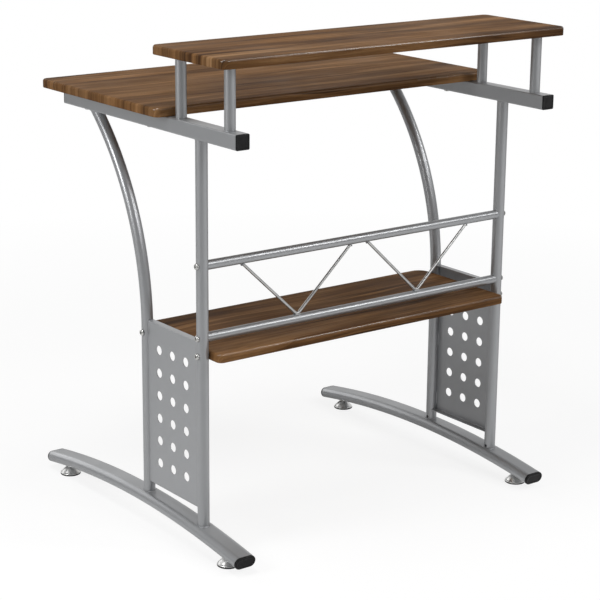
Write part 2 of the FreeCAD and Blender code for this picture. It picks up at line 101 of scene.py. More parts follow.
class NodeSketch:
    """Short ways to add and join nodes in one tree."""

    def __init__(self, tree: bpy.types.NodeTree) -> None:
        """Draw in an existing tree."""
        self.tree = tree

    def join(self, socket: Socket, value: object) -> None:
        """Join an output to a socket, or set the socket to a plain value.

        Args:
            socket: The socket that takes it.
            value: Another node's output, or a value.
        """
        if isinstance(value, Socket):
            self.tree.links.new(value, socket)
        else:
            socket.default_value = value

    def add(self, kind: str, inputs: dict | None = None, **settings: object) -> bpy.types.Node:
        """Add a node, and join or set its sockets.

        Args:
            kind: The node's type.
            inputs: Socket name or number to an output, which is joined, or to a value, which is set.
            settings: The node's own properties.

        Returns:
            The new node.
        """
        node = self.tree.nodes.new(kind)
        for name, value in settings.items():
            setattr(node, name, value)
        for name, value in (inputs or {}).items():
            self.join(node.inputs[name], value)
        return node

    def out(self, kind: str, inputs: dict | None = None, **settings: object) -> Socket:
        """Add a node and give its first output."""
        return self.add(kind, inputs, **settings).outputs[0]

    def math(self, operation: str, *values: object) -> Socket:
        """Add a Math node over one to three values and give its output."""
        return self.out("ShaderNodeMath", dict(enumerate(values)), operation=operation)

    def vector_math(self, operation: str, *values: object) -> Socket:
        """Add a Vector Math node over its values and give its vector."""
        return self.out("ShaderNodeVectorMath", dict(enumerate(values)), operation=operation)

    def measure(self, operation: str, *values: object) -> Socket:
        """Add a Vector Math node over its values and give its number, such as a length."""
        node = self.add("ShaderNodeVectorMath", dict(enumerate(values)), operation=operation)
        return node.outputs["Value"]

    def mix(self, factor: object, first: object, second: object, blend: str = "MIX") -> Socket:
        """Mix two colours by a factor and give the mixed colour."""
        inputs = {0: factor, MIX_A: first, MIX_B: second}
        return self.add("ShaderNodeMix", inputs, data_type="RGBA", blend_type=blend).outputs[MIX_RESULT]

    def noise(self, position: object, scale: object, detail: float) -> Socket:
        """Add a noise texture and give its value."""
        return self.out("ShaderNodeTexNoise", {"Vector": position, "Scale": scale, "Detail": detail})

    def remap(
        self, value: Socket, low: float, high: float, to_low: object = 0.0, to_high: object = 1.0
    ) -> Socket:
        """Map a value from one range to another, without passing its ends."""
        inputs = {"Value": value, "From Min": low, "From Max": high, "To Min": to_low, "To Max": to_high}
        return self.add("ShaderNodeMapRange", inputs).outputs["Result"]


class ShaderGroup(NodeSketch):
    """An effect that several finishes share, with named inputs and outputs."""

    def __init__(self, name: str, inputs: dict[str, object], outputs: dict[str, str]) -> None:
        """Start an empty group.

        Args:
            name: The group's name.
            inputs: Input name to its default: a number, a colour, or None for a vector.
            outputs: Output name to its socket type.
        """
        super().__init__(bpy.data.node_groups.new(name, "ShaderNodeTree"))
        for label, default in inputs.items():
            kind = {float: FLOAT, tuple: COLOUR}.get(type(default), VECTOR)
            socket = self.tree.interface.new_socket(label, in_out="INPUT", socket_type=kind)
            if default is not None:
                socket.default_value = default
        for label, kind in outputs.items():
            self.tree.interface.new_socket(label, in_out="OUTPUT", socket_type=kind)
        self.given = self.add("NodeGroupInput").outputs
        self.result = self.add("NodeGroupOutput").inputs

    def give(self, label: str, value: Socket) -> None:
        """Send a value to a named output."""
        self.join(self.result[label], value)


class PatchyValue(ShaderGroup):
    """A value that wanders between two limits, for roughness that is never quite even."""

    NOISE_SPAN = (0.3, 0.7)

    def __init__(self) -> None:
        """Build the group."""
        defaults = {"Position": None, "Scale": 20.0, "Low": 0.3, "High": 0.4}
        super().__init__("patchy_value", defaults, {"Value": FLOAT})
        given = self.given
        noise = self.noise(given["Position"], given["Scale"], detail=5.0)
        self.give("Value", self.remap(noise, *self.NOISE_SPAN, given["Low"], given["High"]))


class FineRelief(ShaderGroup):
    """A fine uneven height, for the skin of coats and moulded plastic."""

    def __init__(self) -> None:
        """Build the group."""
        defaults = {"Position": None, "Broad Scale": 300.0, "Fine Scale": 2000.0, "Fine Share": 0.5}
        super().__init__("fine_relief", defaults, {"Height": FLOAT})
        given = self.given
        broad = self.noise(given["Position"], given["Broad Scale"], detail=2.0)
        fine = self.noise(given["Position"], given["Fine Scale"], detail=2.0)
        weighted = self.math("MULTIPLY", broad, self.math("SUBTRACT", 1.0, given["Fine Share"]))
        self.give("Height", self.math("MULTIPLY_ADD", fine, given["Fine Share"], weighted))


class SettledDust(ShaderGroup):
    """A thin patchy mask on faces that look up, where dust settles."""

    UPWARD_SPAN = (0.4, 1.0)
    NOISE_SPAN = (0.35, 0.75)

    def __init__(self) -> None:
        """Build the group."""
        defaults = {"Position": None, "Normal": None, "Scale": 30.0, "Amount": 0.1}
        super().__init__("settled_dust", defaults, {"Mask": FLOAT})
        given = self.given
        upward = self.add("ShaderNodeSeparateXYZ", {0: given["Normal"]}).outputs["Z"]
        facing = self.remap(upward, *self.UPWARD_SPAN)
        noise = self.noise(given["Position"], given["Scale"], detail=6.0)
        patches = self.remap(noise, *self.NOISE_SPAN)
        self.give("Mask", self.math("MULTIPLY", self.math("MULTIPLY", facing, patches), given["Amount"]))


@dataclass(frozen=True)
class GrainLayer:
    """One layer of wood figure: features per metre each way, the noise's useful span, and its weight."""

    along: float
    across: float
    detail: float
    low: float
    high: float
    weight: float = 1.0


class WalnutFigure(ShaderGroup):
    """Walnut staves, streaks, fibres and pores that run along the first axis of the grain position."""

    CLOUDS = GrainLayer(4.2, 34.0, 3.0, 0.32, 0.68, 0.26)
    PATCHES = GrainLayer(1.7, 10.0, 2.0, 0.36, 0.64, 0.14)
    STREAKS = GrainLayer(4.0, 190.0, 3.0, 0.30, 0.70, 0.22)
    FIBRES = GrainLayer(16.0, 820.0, 3.0, 0.28, 0.72, 0.14)
    HUE = GrainLayer(2.0, 27.0, 1.0, 0.35, 0.65)
    VEINS = GrainLayer(2.4, 88.0, 2.0, 0.60, 0.67, 0.8)
    DASHES = GrainLayer(45.0, 1500.0, 2.0, 0.60, 0.70, 0.5)
    BEND = (2.6, 7.0, 2.0)
    TAPER = (3.0, 14.0, 1.0)
    WANDER = 0.034
    STAVES_PER_METRE = 40.0
    STAVE_TAPER = 3.2
    STAVE_WEIGHT = 0.24
    DARK_TO_MIDDLE = (0.20, 0.50)
    MIDDLE_TO_LIGHT = (0.50, 0.78)
    WARM = (1.0, 0.80, 0.52, 1.0)
    WARM_SHARE = 0.30
    FIBRE_RELIEF = 0.35

    def __init__(self) -> None:
        """Build the group from its layers."""
        tones = {"Dark": (0.05, 0.027, 0.015, 1.0), "Middle": (0.15, 0.088, 0.048, 1.0)}
        defaults = {"Grain": None, **tones, "Light": (0.25, 0.155, 0.092, 1.0), "Contrast": 1.0}
        super().__init__("walnut_figure", defaults, {"Color": COLOUR, "Pores": FLOAT})
        dark, middle, light = (self.given[name] for name in ("Dark", "Middle", "Light"))
        self.bent = self.bent_grain()
        tone = self.math("MULTIPLY", self.staves(), self.STAVE_WEIGHT)
        for layer in (self.CLOUDS, self.PATCHES, self.STREAKS):
            tone = self.math("MULTIPLY_ADD", self.drawn(layer), layer.weight, tone)
        fibres = self.drawn(self.FIBRES)
        tone = self.math("MULTIPLY_ADD", fibres, self.FIBRES.weight, tone)
        lower = self.mix(self.remap(tone, *self.DARK_TO_MIDDLE), dark, middle)
        plain = self.mix(self.remap(tone, *self.MIDDLE_TO_LIGHT), lower, light)
        warm = self.mix(self.WARM_SHARE, plain, self.WARM, "MULTIPLY")
        colour = self.mix(self.drawn(self.HUE), warm, plain)
        dashes = self.drawn(self.DASHES)
        veins = self.math("MULTIPLY", self.drawn(self.VEINS), self.VEINS.weight)
        veined = self.mix(veins, colour, dark)
        pored = self.mix(self.math("MULTIPLY", dashes, self.DASHES.weight), veined, dark)
        self.give("Color", self.mix(self.given["Contrast"], middle, pored))
        smooth = self.math("SUBTRACT", 1.0, dashes)
        self.give("Pores", self.math("MULTIPLY_ADD", fibres, self.FIBRE_RELIEF, smooth))

    def stretched(self, base: Socket, along: float, across: float, detail: float) -> Socket:
        """Noise drawn out along the grain, with so many features per metre along and across."""
        return self.noise(self.vector_math("MULTIPLY", base, (along, across, 1.0)), 1.0, detail)

    def drawn(self, layer: GrainLayer) -> Socket:
        """One layer's mask on the bent grain."""
        noise = self.stretched(self.bent, layer.along, layer.across, layer.detail)
        return self.remap(noise, layer.low, layer.high)

    def bent_grain(self) -> Socket:
        """The grain position, pushed sideways so that no line stays straight.

        Returns:
            The bent position.
        """
        noise = self.stretched(self.given["Grain"], *self.BEND)
        wander = self.math("MULTIPLY_ADD", noise, self.WANDER, -self.WANDER / 2)
        return self.vector_math("ADD", self.given["Grain"], self.out("ShaderNodeCombineXYZ", {"Y": wander}))

    def staves(self) -> Socket:
        """A tone for each tapered stave.

        Returns:
            The tone, even within a stave.
        """
        across = self.add("ShaderNodeSeparateXYZ", {0: self.bent}).outputs["Y"]
        taper = self.math("MULTIPLY", self.stretched(self.bent, *self.TAPER), self.STAVE_TAPER)
        place = self.math("MULTIPLY_ADD", across, self.STAVES_PER_METRE, taper)
        inputs = {"W": place, "Scale": 1.0, "Randomness": 1.0}
        strip = self.add("ShaderNodeTexVoronoi", inputs, voronoi_dimensions="1D").outputs["Color"]
        return self.add("ShaderNodeSeparateColor", {0: strip}).outputs["Red"]


# Finishes

class Effects:
    """The shared shader effects, each built once."""

    def __init__(self) -> None:
        """Build every shared group."""
        self.patchy = PatchyValue()
        self.relief = FineRelief()
        self.dust = SettledDust()
        self.walnut = WalnutFigure()


@dataclass(frozen=True)
class Skin:
    """A fine relief: features per metre of its two noises, the finer one's share, and its strength."""

    broad: float
    fine: float
    fine_share: float
    strength: float


class Shader(NodeSketch):
    """One material's nodes, ending in a Principled shader."""

    def __init__(self, name: str, effects: Effects) -> None:
        """Start an empty material with its shader and output.

        Args:
            name: The material's name.
            effects: The shared shader groups.
        """
        self.effects = effects
        self.material = bpy.data.materials.new(name)
        self.material.use_nodes = True
        super().__init__(self.material.node_tree)
        self.tree.nodes.clear()
        self.surface = self.add("ShaderNodeBsdfPrincipled")
        self.add("ShaderNodeOutputMaterial", {"Surface": self.surface.outputs[0]})
        self.position = self.add("ShaderNodeTexCoord").outputs["Object"]

    def place(self, group: ShaderGroup, inputs: dict[str, object]) -> bpy.types.bpy_prop_collection:
        """Place a shared effect with its own values and give its outputs."""
        return self.add("ShaderNodeGroup", inputs, node_tree=group.tree).outputs

    def patchy(self, scale: float, low: float = 0.0, high: float = 1.0) -> Socket:
        """A value that wanders between two limits over the surface."""
        inputs = {"Position": self.position, "Scale": scale, "Low": low, "High": high}
        return self.place(self.effects.patchy, inputs)["Value"]

    def dusty(self, scale: float, amount: float) -> Socket:
        """The mask of the dust that settles on the surface.

        Args:
            scale: Patches per metre.
            amount: How thick it lies at most.

        Returns:
            The mask.
        """
        normal = self.add("ShaderNodeNewGeometry").outputs["Normal"]
        inputs = {"Position": self.position, "Normal": normal, "Scale": scale, "Amount": amount}
        return self.place(self.effects.dust, inputs)["Mask"]

    def feed(self, values: dict[str, object]) -> None:
        """Join or set sockets of the Principled shader."""
        for name, value in values.items():
            self.join(self.surface.inputs[name], value)

    def bump(self, height: Socket, strength: float, distance: float) -> None:
        """Raise the surface by a height."""
        inputs = {"Height": height, "Strength": strength, "Distance": distance}
        self.feed({"Normal": self.out("ShaderNodeBump", inputs)})

    def relief(self, skin: Skin, depth: float) -> None:
        """Raise the surface by a fine relief.

        Args:
            skin: The relief.
            depth: Its depth.
        """
        scales = {"Broad Scale": skin.broad, "Fine Scale": skin.fine, "Fine Share": skin.fine_share}
        height = self.place(self.effects.relief, {"Position": self.position, **scales})["Height"]
        self.bump(height, skin.strength, depth)


@dataclass(frozen=True)
class Finish:
    """A finish by name, which each kind lays on in its own way."""

    name: str

    def build(self, effects: Effects) -> Material:
        """Make the material.

        Args:
            effects: The shared shader groups.

        Returns:
            The finished material.
        """
        shader = Shader(self.name, effects)
        self.lay(shader)
        return shader.material

    def lay(self, shader: Shader) -> None:
        """Lay the finish on a new material's nodes."""
        raise NotImplementedError


@dataclass(frozen=True)
class LaminateFinish(Finish):
    """Walnut-pattern film over a board: printed grain, pressed pores and a satin skin."""

    dark: Colour = (0.040, 0.0185, 0.008, 1.0)
    middle: Colour = (0.160, 0.081, 0.033, 1.0)
    light: Colour = (0.325, 0.184, 0.086, 1.0)
    contrast: float = 1.0
    specular: float = 0.04
    coat: float = 0.0
    rough_low: float = 0.52
    rough_high: float = 0.66
    rough_scale: float = 9.0
    coat_roughness: float = 0.12
    pore_depth: float = 0.00010
    pore_strength: float = 0.6
    dust: float = 0.02
    dust_scale: float = 14.0
    dust_colour: Colour = (0.42, 0.38, 0.33, 1.0)

    def lay(self, shader: Shader) -> None:
        """Lay the film on; its grain follows the board's own film map.

        Args:
            shader: The material's nodes.
        """
        film = shader.out("ShaderNodeUVMap", uv_map=Board.FILM)
        tones = {"Dark": self.dark, "Middle": self.middle, "Light": self.light, "Contrast": self.contrast}
        figure = shader.place(shader.effects.walnut, {"Grain": film, **tones})
        mask = shader.dusty(self.dust_scale, self.dust)
        rough = shader.patchy(self.rough_scale, self.rough_low, self.rough_high)
        shader.feed({
            "Base Color": shader.mix(mask, figure["Color"], self.dust_colour),
            "Specular IOR Level": self.specular,
            "Coat Weight": self.coat,
            "Coat Roughness": self.coat_roughness,
            "Roughness": shader.math("ADD", rough, mask),
        })
        shader.bump(figure["Pores"], self.pore_strength, self.pore_depth)


@dataclass(frozen=True)
class CoatFinish(Finish):
    """Silver metallic powder coat: fine flakes, a faint orange-peel skin and uneven sheen."""

    dark: Colour = (0.328, 0.335, 0.345, 1.0)
    light: Colour = (0.392, 0.399, 0.409, 1.0)
    flake_scale: float = 3200.0
    flake_share: float = 0.45
    cloud_scale: float = 6.0
    cloud_low: float = 0.35
    cloud_high: float = 0.65
    cloud_share: float = 0.55
    metallic: float = 0.55
    rough_low: float = 0.29
    rough_high: float = 0.36
    rough_scale: float = 24.0
    skin: Skin = Skin(420.0, 2600.0, 0.35, 0.35)
    peel: float = 0.00002
    dust: float = 0.04
    dust_scale: float = 25.0
    dust_colour: Colour = (0.50, 0.49, 0.47, 1.0)

    def lay(self, shader: Shader) -> None:
        """Lay the coat on by object coordinates.

        Args:
            shader: The material's nodes.
        """
        cloud = shader.patchy(self.cloud_scale, self.cloud_low, self.cloud_high)
        clouds = shader.math("MULTIPLY", cloud, self.cloud_share)
        blend = shader.math("MULTIPLY_ADD", shader.patchy(self.flake_scale), self.flake_share, clouds)
        mask = shader.dusty(self.dust_scale, self.dust)
        rough = shader.patchy(self.rough_scale, self.rough_low, self.rough_high)
        shader.feed({
            "Base Color": shader.mix(mask, shader.mix(blend, self.dark, self.light), self.dust_colour),
            "Metallic": self.metallic,
            "Roughness": shader.math("ADD", rough, mask),
        })
        shader.relief(self.skin, self.peel)


@dataclass(frozen=True)
class PlasticFinish(Finish):
    """Moulded black plastic with a fine sparked grain."""

    dark: Colour = (0.007, 0.007, 0.007, 1.0)
    light: Colour = (0.016, 0.016, 0.017, 1.0)
    tone_scale: float = 90.0
    specular: float = 0.16
    rough_low: float = 0.24
    rough_high: float = 0.36
    rough_scale: float = 70.0
    skin: Skin = Skin(900.0, 3600.0, 0.6, 0.5)
    grain: float = 0.00004
    dust: float = 0.03
    dust_scale: float = 60.0
    dust_colour: Colour = (0.22, 0.21, 0.20, 1.0)

    def lay(self, shader: Shader) -> None:
        """Lay the plastic's tone and grain on by object coordinates.

        Args:
            shader: The material's nodes.
        """
        colour = shader.mix(shader.patchy(self.tone_scale), self.dark, self.light)
        mask = shader.dusty(self.dust_scale, self.dust)
        shader.feed({
            "Base Color": shader.mix(mask, colour, self.dust_colour),
            "Specular IOR Level": self.specular,
            "Roughness": shader.patchy(self.rough_scale, self.rough_low, self.rough_high),
        })
        shader.relief(self.skin, self.grain)


@dataclass(frozen=True)
class PlatedFinish(Finish):
    """Plated steel, from bright zinc to polished chrome."""

    dark: Colour
    light: Colour
    cloud_scale: float
    rough_low: float
    rough_high: float
    scuff: float
    rough_scale: float = 160.0
    skin: Skin = Skin(500.0, 4000.0, 0.7, 0.3)

    def lay(self, shader: Shader) -> None:
        """Lay the plating on by object coordinates.

        Args:
            shader: The material's nodes.
        """
        shader.feed({
            "Base Color": shader.mix(shader.patchy(self.cloud_scale), self.dark, self.light),
            "Metallic": 1.0,
            "Roughness": shader.patchy(self.rough_scale, self.rough_low, self.rough_high),
        })
        shader.relief(self.skin, self.scuff)


class Finishes:
    """Every material of the desk, built once."""

    def __init__(self) -> None:
        """Build the shared effects and the finishes that use them."""
        effects = Effects()
        self.walnut = LaminateFinish("walnut_film").build(effects)
        self.fold = LaminateFinish(
            "walnut_film_fold", specular=0.5, coat=0.5, rough_low=0.18, rough_high=0.30,
            pore_depth=0.00022, dust=0.0
        ).build(effects)
        self.backing = LaminateFinish(
            "walnut_backing_paper", contrast=0.45, rough_low=0.55, rough_high=0.7,
            pore_depth=0.00004, dust=0.0
        ).build(effects)
        self.silver = CoatFinish("silver_powder_coat").build(effects)
        self.weld = CoatFinish("coated_weld", rough_low=0.28, rough_high=0.42, peel=0.00006).build(effects)
        self.plastic = PlasticFinish("black_moulded_plastic").build(effects)
        self.zinc = PlatedFinish(
            "bright_zinc", (0.44, 0.44, 0.43, 1.0), (0.66, 0.66, 0.64, 1.0), 220.0, 0.14, 0.28, 0.00002
        ).build(effects)
        self.chrome = PlatedFinish(
            "polished_chrome", (0.72, 0.72, 0.71, 1.0), (0.84, 0.84, 0.83, 1.0), 40.0, 0.32, 0.40, 0.000002
        ).build(effects)
        self.rod = PlatedFinish(
            "plated_rod", (0.42, 0.42, 0.42, 1.0), (0.54, 0.54, 0.53, 1.0), 60.0, 0.26, 0.34, 0.000004
        ).build(effects)


# Objects and meshes

def linked(name: str, data: bpy.types.ID) -> bpy.types.Object:
    """Put a new object in the scene.

    Args:
        name: The object's name.
        data: Its mesh, lamp or camera.

    Returns:
        The object.
    """
    thing = bpy.data.objects.new(name, data)
    bpy.context.scene.collection.objects.link(thing)
    return thing


def settled(holder: bpy.types.Object) -> Mesh:
    """Turn what an object's modifier makes into a plain mesh, and take the object away.

    Args:
        holder: The object with the modifier.

    Returns:
        The plain mesh.
    """
    bpy.context.view_layer.update()
    graph = bpy.context.evaluated_depsgraph_get()
    mesh = bpy.data.meshes.new_from_object(holder.evaluated_get(graph))
    holder.modifiers.clear()
    bpy.data.objects.remove(holder)
    return mesh


def points_mesh(name: str, points: Iterable[Vector], axes: Sequence[Vector] = ()) -> Mesh:
    """Make a mesh of loose points.

    Args:
        name: The mesh's name.
        points: The points.
        axes: An axis for each point, where they have one.

    Returns:
        The mesh, with the axes as its attribute.
    """
    mesh = bpy.data.meshes.new(name)
    mesh.from_pydata([tuple(point) for point in points], [], [])
    if axes:
        attribute = mesh.attributes.new("axis", "FLOAT_VECTOR", "POINT")
        for item, axis in zip(attribute.data, axes):
            item.vector = axis
    return mesh


def paths_mesh(name: str, paths: Iterable[Path]) -> Mesh:
    """Make a mesh of edges along paths.

    Args:
        name: The mesh's name.
        paths: Each path's points, and whether it closes on itself.

    Returns:
        The mesh.
    """
    points, edges = [], []
    for path, closed in paths:
        first = len(points)
        points += [tuple(point) for point in path]
        edges += [(first + step, first + step + 1) for step in range(len(path) - 1)]
        if closed:
            edges.append((len(points) - 1, first))
    mesh = bpy.data.meshes.new(name)
    mesh.from_pydata(points, edges, [])
    return mesh


def loft(name: str, rings: Sequence[Ring], hollow: bool = False) -> Mesh:
    """Skin a row of closed rings and close it.

    Args:
        name: The mesh's name.
        rings: Rings of equally many points.
        hollow: True where the last ring meets the first, as on a tube with a wall; otherwise both
            ends are filled.

    Returns:
        A closed smooth mesh whose faces point outwards.
    """
    shape = bmesh.new()
    rows = [[shape.verts.new(point) for point in ring] for ring in rings]
    pairs = list(zip(rows, rows[1:]))
    if hollow:
        pairs.append((rows[-1], rows[0]))
    else:
        shape.faces.new(rows[0][::-1])
        shape.faces.new(rows[-1])
    for row, following in pairs:
        for step in range(len(row)):
            after = (step + 1) % len(row)
            shape.faces.new((row[step], row[after], following[after], following[step]))
    bmesh.ops.remove_doubles(shape, verts=shape.verts, dist=1e-7)
    bmesh.ops.recalc_face_normals(shape, faces=shape.faces)
    for face in shape.faces:
        face.smooth = True
    mesh = bpy.data.meshes.new(name)
    shape.to_mesh(mesh)
    shape.free()
    mesh.set_sharp_from_angle(angle=SHARP_ANGLE)
    return mesh


def rounded_ring(width: float, depth: float, radii: tuple[float, float], inset: float, z: float) -> Ring:
    """A level rounded rectangle about the origin.

    Args:
        width: Size along X before the inset.
        depth: Size along Y before the inset.
        radii: Corner radii at the low and the high end of Y, before the inset.
        inset: How far the ring lies inside that rectangle.
        z: Its height.

    Returns:
        The ring's points, anticlockwise from above.
    """
    smallest = 0.0002
    corner_steps = 9
    points = []
    corners = ((1, -1, -90), (1, 1, 0), (-1, 1, 90), (-1, -1, 180))
    for x_sign, y_sign, start in corners:
        radius = max(radii[0 if y_sign < 0 else 1] - inset, smallest)
        centre = Vector((x_sign * (width / 2 - inset - radius), y_sign * (depth / 2 - inset - radius), z))
        for step in range(corner_steps):
            angle = math.radians(start + 90 * step / (corner_steps - 1))
            points.append(centre + radius * Vector((math.cos(angle), math.sin(angle), 0)))
    return points


def turned_ring(radius: float, z: float, section: Section = Section.ROUND, count: int = 48) -> Ring:
    """A level ring about the Z axis.

    Args:
        radius: Its radius, or half its width across flats for a hexagon.
        z: Its height.
        section: Its outline.
        count: How many points it has.

    Returns:
        The ring's points, anticlockwise from above.
    """
    points = []
    for step in range(count):
        angle = math.tau * step / count
        reach = radius
        if section is Section.HEXAGON:
            sixth = math.tau / 6
            reach = radius / math.cos((angle + sixth / 2) % sixth - sixth / 2)
        points.append(Vector((reach * math.cos(angle), reach * math.sin(angle), z)))
    return points


def lathe(name: str, rows: Iterable[tuple], count: int = 48, hollow: bool = False) -> Mesh:
    """Turn rows of radius, height and, where it isn't round, section into a closed mesh about the Z axis."""
    return loft(name, [turned_ring(*row, count=count) for row in rows], hollow)


def quarter_turn(radius: float, steps: int) -> Profile:
    """Inset and drop of points round a rounded edge, from its flat top to its side."""
    turns = [math.pi / 2 * step / steps for step in range(steps + 1)]
    return [(radius * (1 - math.sin(turn)), radius * (1 - math.cos(turn))) for turn in turns]


def moved(mesh: Mesh, place: Matrix) -> Mesh:
    """Turn and move a mesh to its place."""
    mesh.transform(place)
    return mesh


def joined(name: str, meshes: Iterable[Mesh]) -> Mesh:
    """Join meshes into one.

    Args:
        name: The new mesh's name.
        meshes: Meshes that have the same materials.

    Returns:
        The new mesh.
    """
    shape = bmesh.new()
    materials = []
    for mesh in meshes:
        materials = list(mesh.materials) or materials
        shape.from_mesh(mesh)
    whole = bpy.data.meshes.new(name)
    shape.to_mesh(whole)
    shape.free()
    for material in materials:
        whole.materials.append(material)
    return whole


def trimmed(mesh: Mesh, top: float) -> Mesh:
    """Cut a closed mesh level and close it there.

    Args:
        mesh: The mesh.
        top: The height of the cut.

    Returns:
        The same mesh, without what stood higher.
    """
    shape = bmesh.new()
    shape.from_mesh(mesh)
    whole = shape.verts[:] + shape.edges[:] + shape.faces[:]
    plane = {"plane_co": (0, 0, top), "plane_no": (0, 0, 1)}
    cut = bmesh.ops.bisect_plane(shape, geom=whole, clear_outer=True, **plane)
    rim = [item for item in cut["geom_cut"] if isinstance(item, bmesh.types.BMEdge)]
    bmesh.ops.contextual_create(shape, geom=rim)
    bmesh.ops.recalc_face_normals(shape, faces=shape.faces)
    shape.to_mesh(mesh)
    shape.free()
    return mesh


def cut_away(name: str, blank: Mesh, cutters: Iterable[Mesh]) -> Mesh:
    """Cut closed shapes out of a blank.

    Args:
        name: The new mesh's name.
        blank: The closed mesh that is cut.
        cutters: Closed meshes.

    Returns:
        What is left, with sharp edges where the cutters went through.
    """
    cutter = linked("cutter", joined("cutters", cutters))
    holder = linked("blank", blank)
    modifier = holder.modifiers.new("cut", "BOOLEAN")
    modifier.object = cutter
    modifier.operation = "DIFFERENCE"
    modifier.solver = "EXACT"
    rest = settled(holder)
    bpy.data.objects.remove(cutter)
    rest.set_sharp_from_angle(angle=SHARP_ANGLE)
    rest.name = name
    return rest


def dress(mesh: Mesh, material: Material) -> Mesh:
    """Give a mesh its only material.

    Args:
        mesh: The mesh.
        material: Its material.

    Returns:
        The same mesh.
    """
    mesh.materials.clear()
    mesh.materials.append(material)
    return mesh


def add_piece(name: str, mesh: Mesh, body: str, slot: Slot, *nodes: str) -> None:
    """Put a finished mesh in the scene.

    Args:
        name: The piece's name.
        mesh: Its mesh, in place.
        body: The body that it rides on.
        slot: The record's slot that its finish belongs to; not used.
        nodes: The solids that it stands for.
    """
    piece = linked(name, mesh)
    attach(piece, body)
    if nodes:
        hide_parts(*nodes)
    log.info("piece %s: %d faces on body %s", name, len(mesh.polygons), body)


def dress_nodes(names: Iterable[str], material: Material) -> None:
    """Give the solids that stay their finish.

    Args:
        names: The solids.
        material: Their finish.
    """
    for name in names:
        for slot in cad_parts[name].material_slots:
            slot.material = material
        log.info("solid %s: %s", name, material.name)


def middle(node: str) -> Vector:
    """The middle of a solid's box."""
    low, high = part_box(node)
    return (low + high) / 2


# Geometry node trees

class GeometryTree(NodeSketch):
    """A geometry node tree with named inputs, which turns an object's mesh into a finished one."""

    def __init__(self, name: str, inputs: dict[str, str]) -> None:
        """Start a tree.

        Args:
            name: The tree's name.
            inputs: Input name to its socket type, besides the geometry and its material.
        """
        super().__init__(bpy.data.node_groups.new(name, "GeometryNodeTree"))
        self.tree.is_modifier = True
        face = self.tree.interface
        for way in ("INPUT", "OUTPUT"):
            face.new_socket("Geometry", in_out=way, socket_type="NodeSocketGeometry")
        self.identifiers = {}
        for label, kind in {**inputs, "Material": "NodeSocketMaterial"}.items():
            self.identifiers[label] = face.new_socket(label, in_out="INPUT", socket_type=kind).identifier
        self.given = self.add("NodeGroupInput").outputs

    def close(self, geometry: Socket) -> None:
        """Realize the instances, set the material and send the mesh out.

        Args:
            geometry: What the tree has made.
        """
        smooth = self.out("GeometryNodeSetShadeSmooth", {"Geometry": geometry})
        real = self.out("GeometryNodeRealizeInstances", {"Geometry": smooth})
        inputs = {"Geometry": real, "Material": self.given["Material"]}
        self.add("NodeGroupOutput", {0: self.out("GeometryNodeSetMaterial", inputs)})

    def grow(self, name: str, mesh: Mesh, values: dict[str, object]) -> Mesh:
        """Run the tree over a mesh.

        Args:
            name: The name of the finished mesh.
            mesh: The points or paths that the tree grows from.
            values: Input name to its value.

        Returns:
            A plain mesh.
        """
        holder = linked(name + "_seed", mesh)
        modifier = holder.modifiers.new("grow", "NODES")
        modifier.node_group = self.tree
        for label, value in values.items():
            modifier[self.identifiers[label]] = value
        grown = settled(holder)
        grown.name = name
        return grown


class WeldTree(GeometryTree):
    """A rippled bead of weld along each path."""

    LUMPS_PER_METRE = 260.0
    LUMP_GAIN, LUMP_BASE = 0.5, 0.75
    BEAD_POINTS = 10

    def __init__(self) -> None:
        """Build the tree."""
        names = ("Bead Radius", "Ripple Pitch", "Ripple Share", "Step", "Seed")
        super().__init__("weld_bead", dict.fromkeys(names, FLOAT))
        given = self.given
        curve = self.out("GeometryNodeMeshToCurve", {"Mesh": given["Geometry"]})
        steps = {"Curve": curve, "Length": given["Step"]}
        fine = self.out("GeometryNodeResampleCurve", steps, mode="LENGTH")
        length = self.add("GeometryNodeSplineParameter").outputs["Length"]
        turns = self.math("DIVIDE", length, given["Ripple Pitch"])
        wave = self.math("SINE", self.math("MULTIPLY", turns, math.tau))
        position = self.out("GeometryNodeInputPosition")
        lumps = {"Vector": position, "W": given["Seed"], "Scale": self.LUMPS_PER_METRE, "Detail": 1.0}
        noise = self.out("ShaderNodeTexNoise", lumps, noise_dimensions="4D")
        uneven = self.math("MULTIPLY_ADD", noise, self.LUMP_GAIN, self.LUMP_BASE)
        ripple = self.math("MULTIPLY_ADD", wave, given["Ripple Share"], uneven)
        swollen = self.out("GeometryNodeSetCurveRadius", {"Curve": fine, "Radius": ripple})
        ring = {"Resolution": self.BEAD_POINTS, "Radius": given["Bead Radius"]}
        bead = self.out("GeometryNodeCurvePrimitiveCircle", ring)
        inputs = {"Curve": swollen, "Profile Curve": bead, "Fill Caps": True}
        self.close(self.out("GeometryNodeCurveToMesh", inputs))


class BoltTree(GeometryTree):
    """A bolt on each point, turned to the point's axis."""

    def __init__(self) -> None:
        """Build the tree."""
        super().__init__("bolt_row", {"Bolt": "NodeSocketObject"})
        bolt = self.add("GeometryNodeObjectInfo", {"Object": self.given["Bolt"]}).outputs["Geometry"]
        axis = self.out("GeometryNodeInputNamedAttribute", {"Name": "axis"}, data_type="FLOAT_VECTOR")
        turned = self.out("FunctionNodeAlignRotationToVector", {"Vector": axis}, axis="Z")
        inputs = {"Points": self.given["Geometry"], "Instance": bolt, "Rotation": turned}
        self.close(self.out("GeometryNodeInstanceOnPoints", inputs))


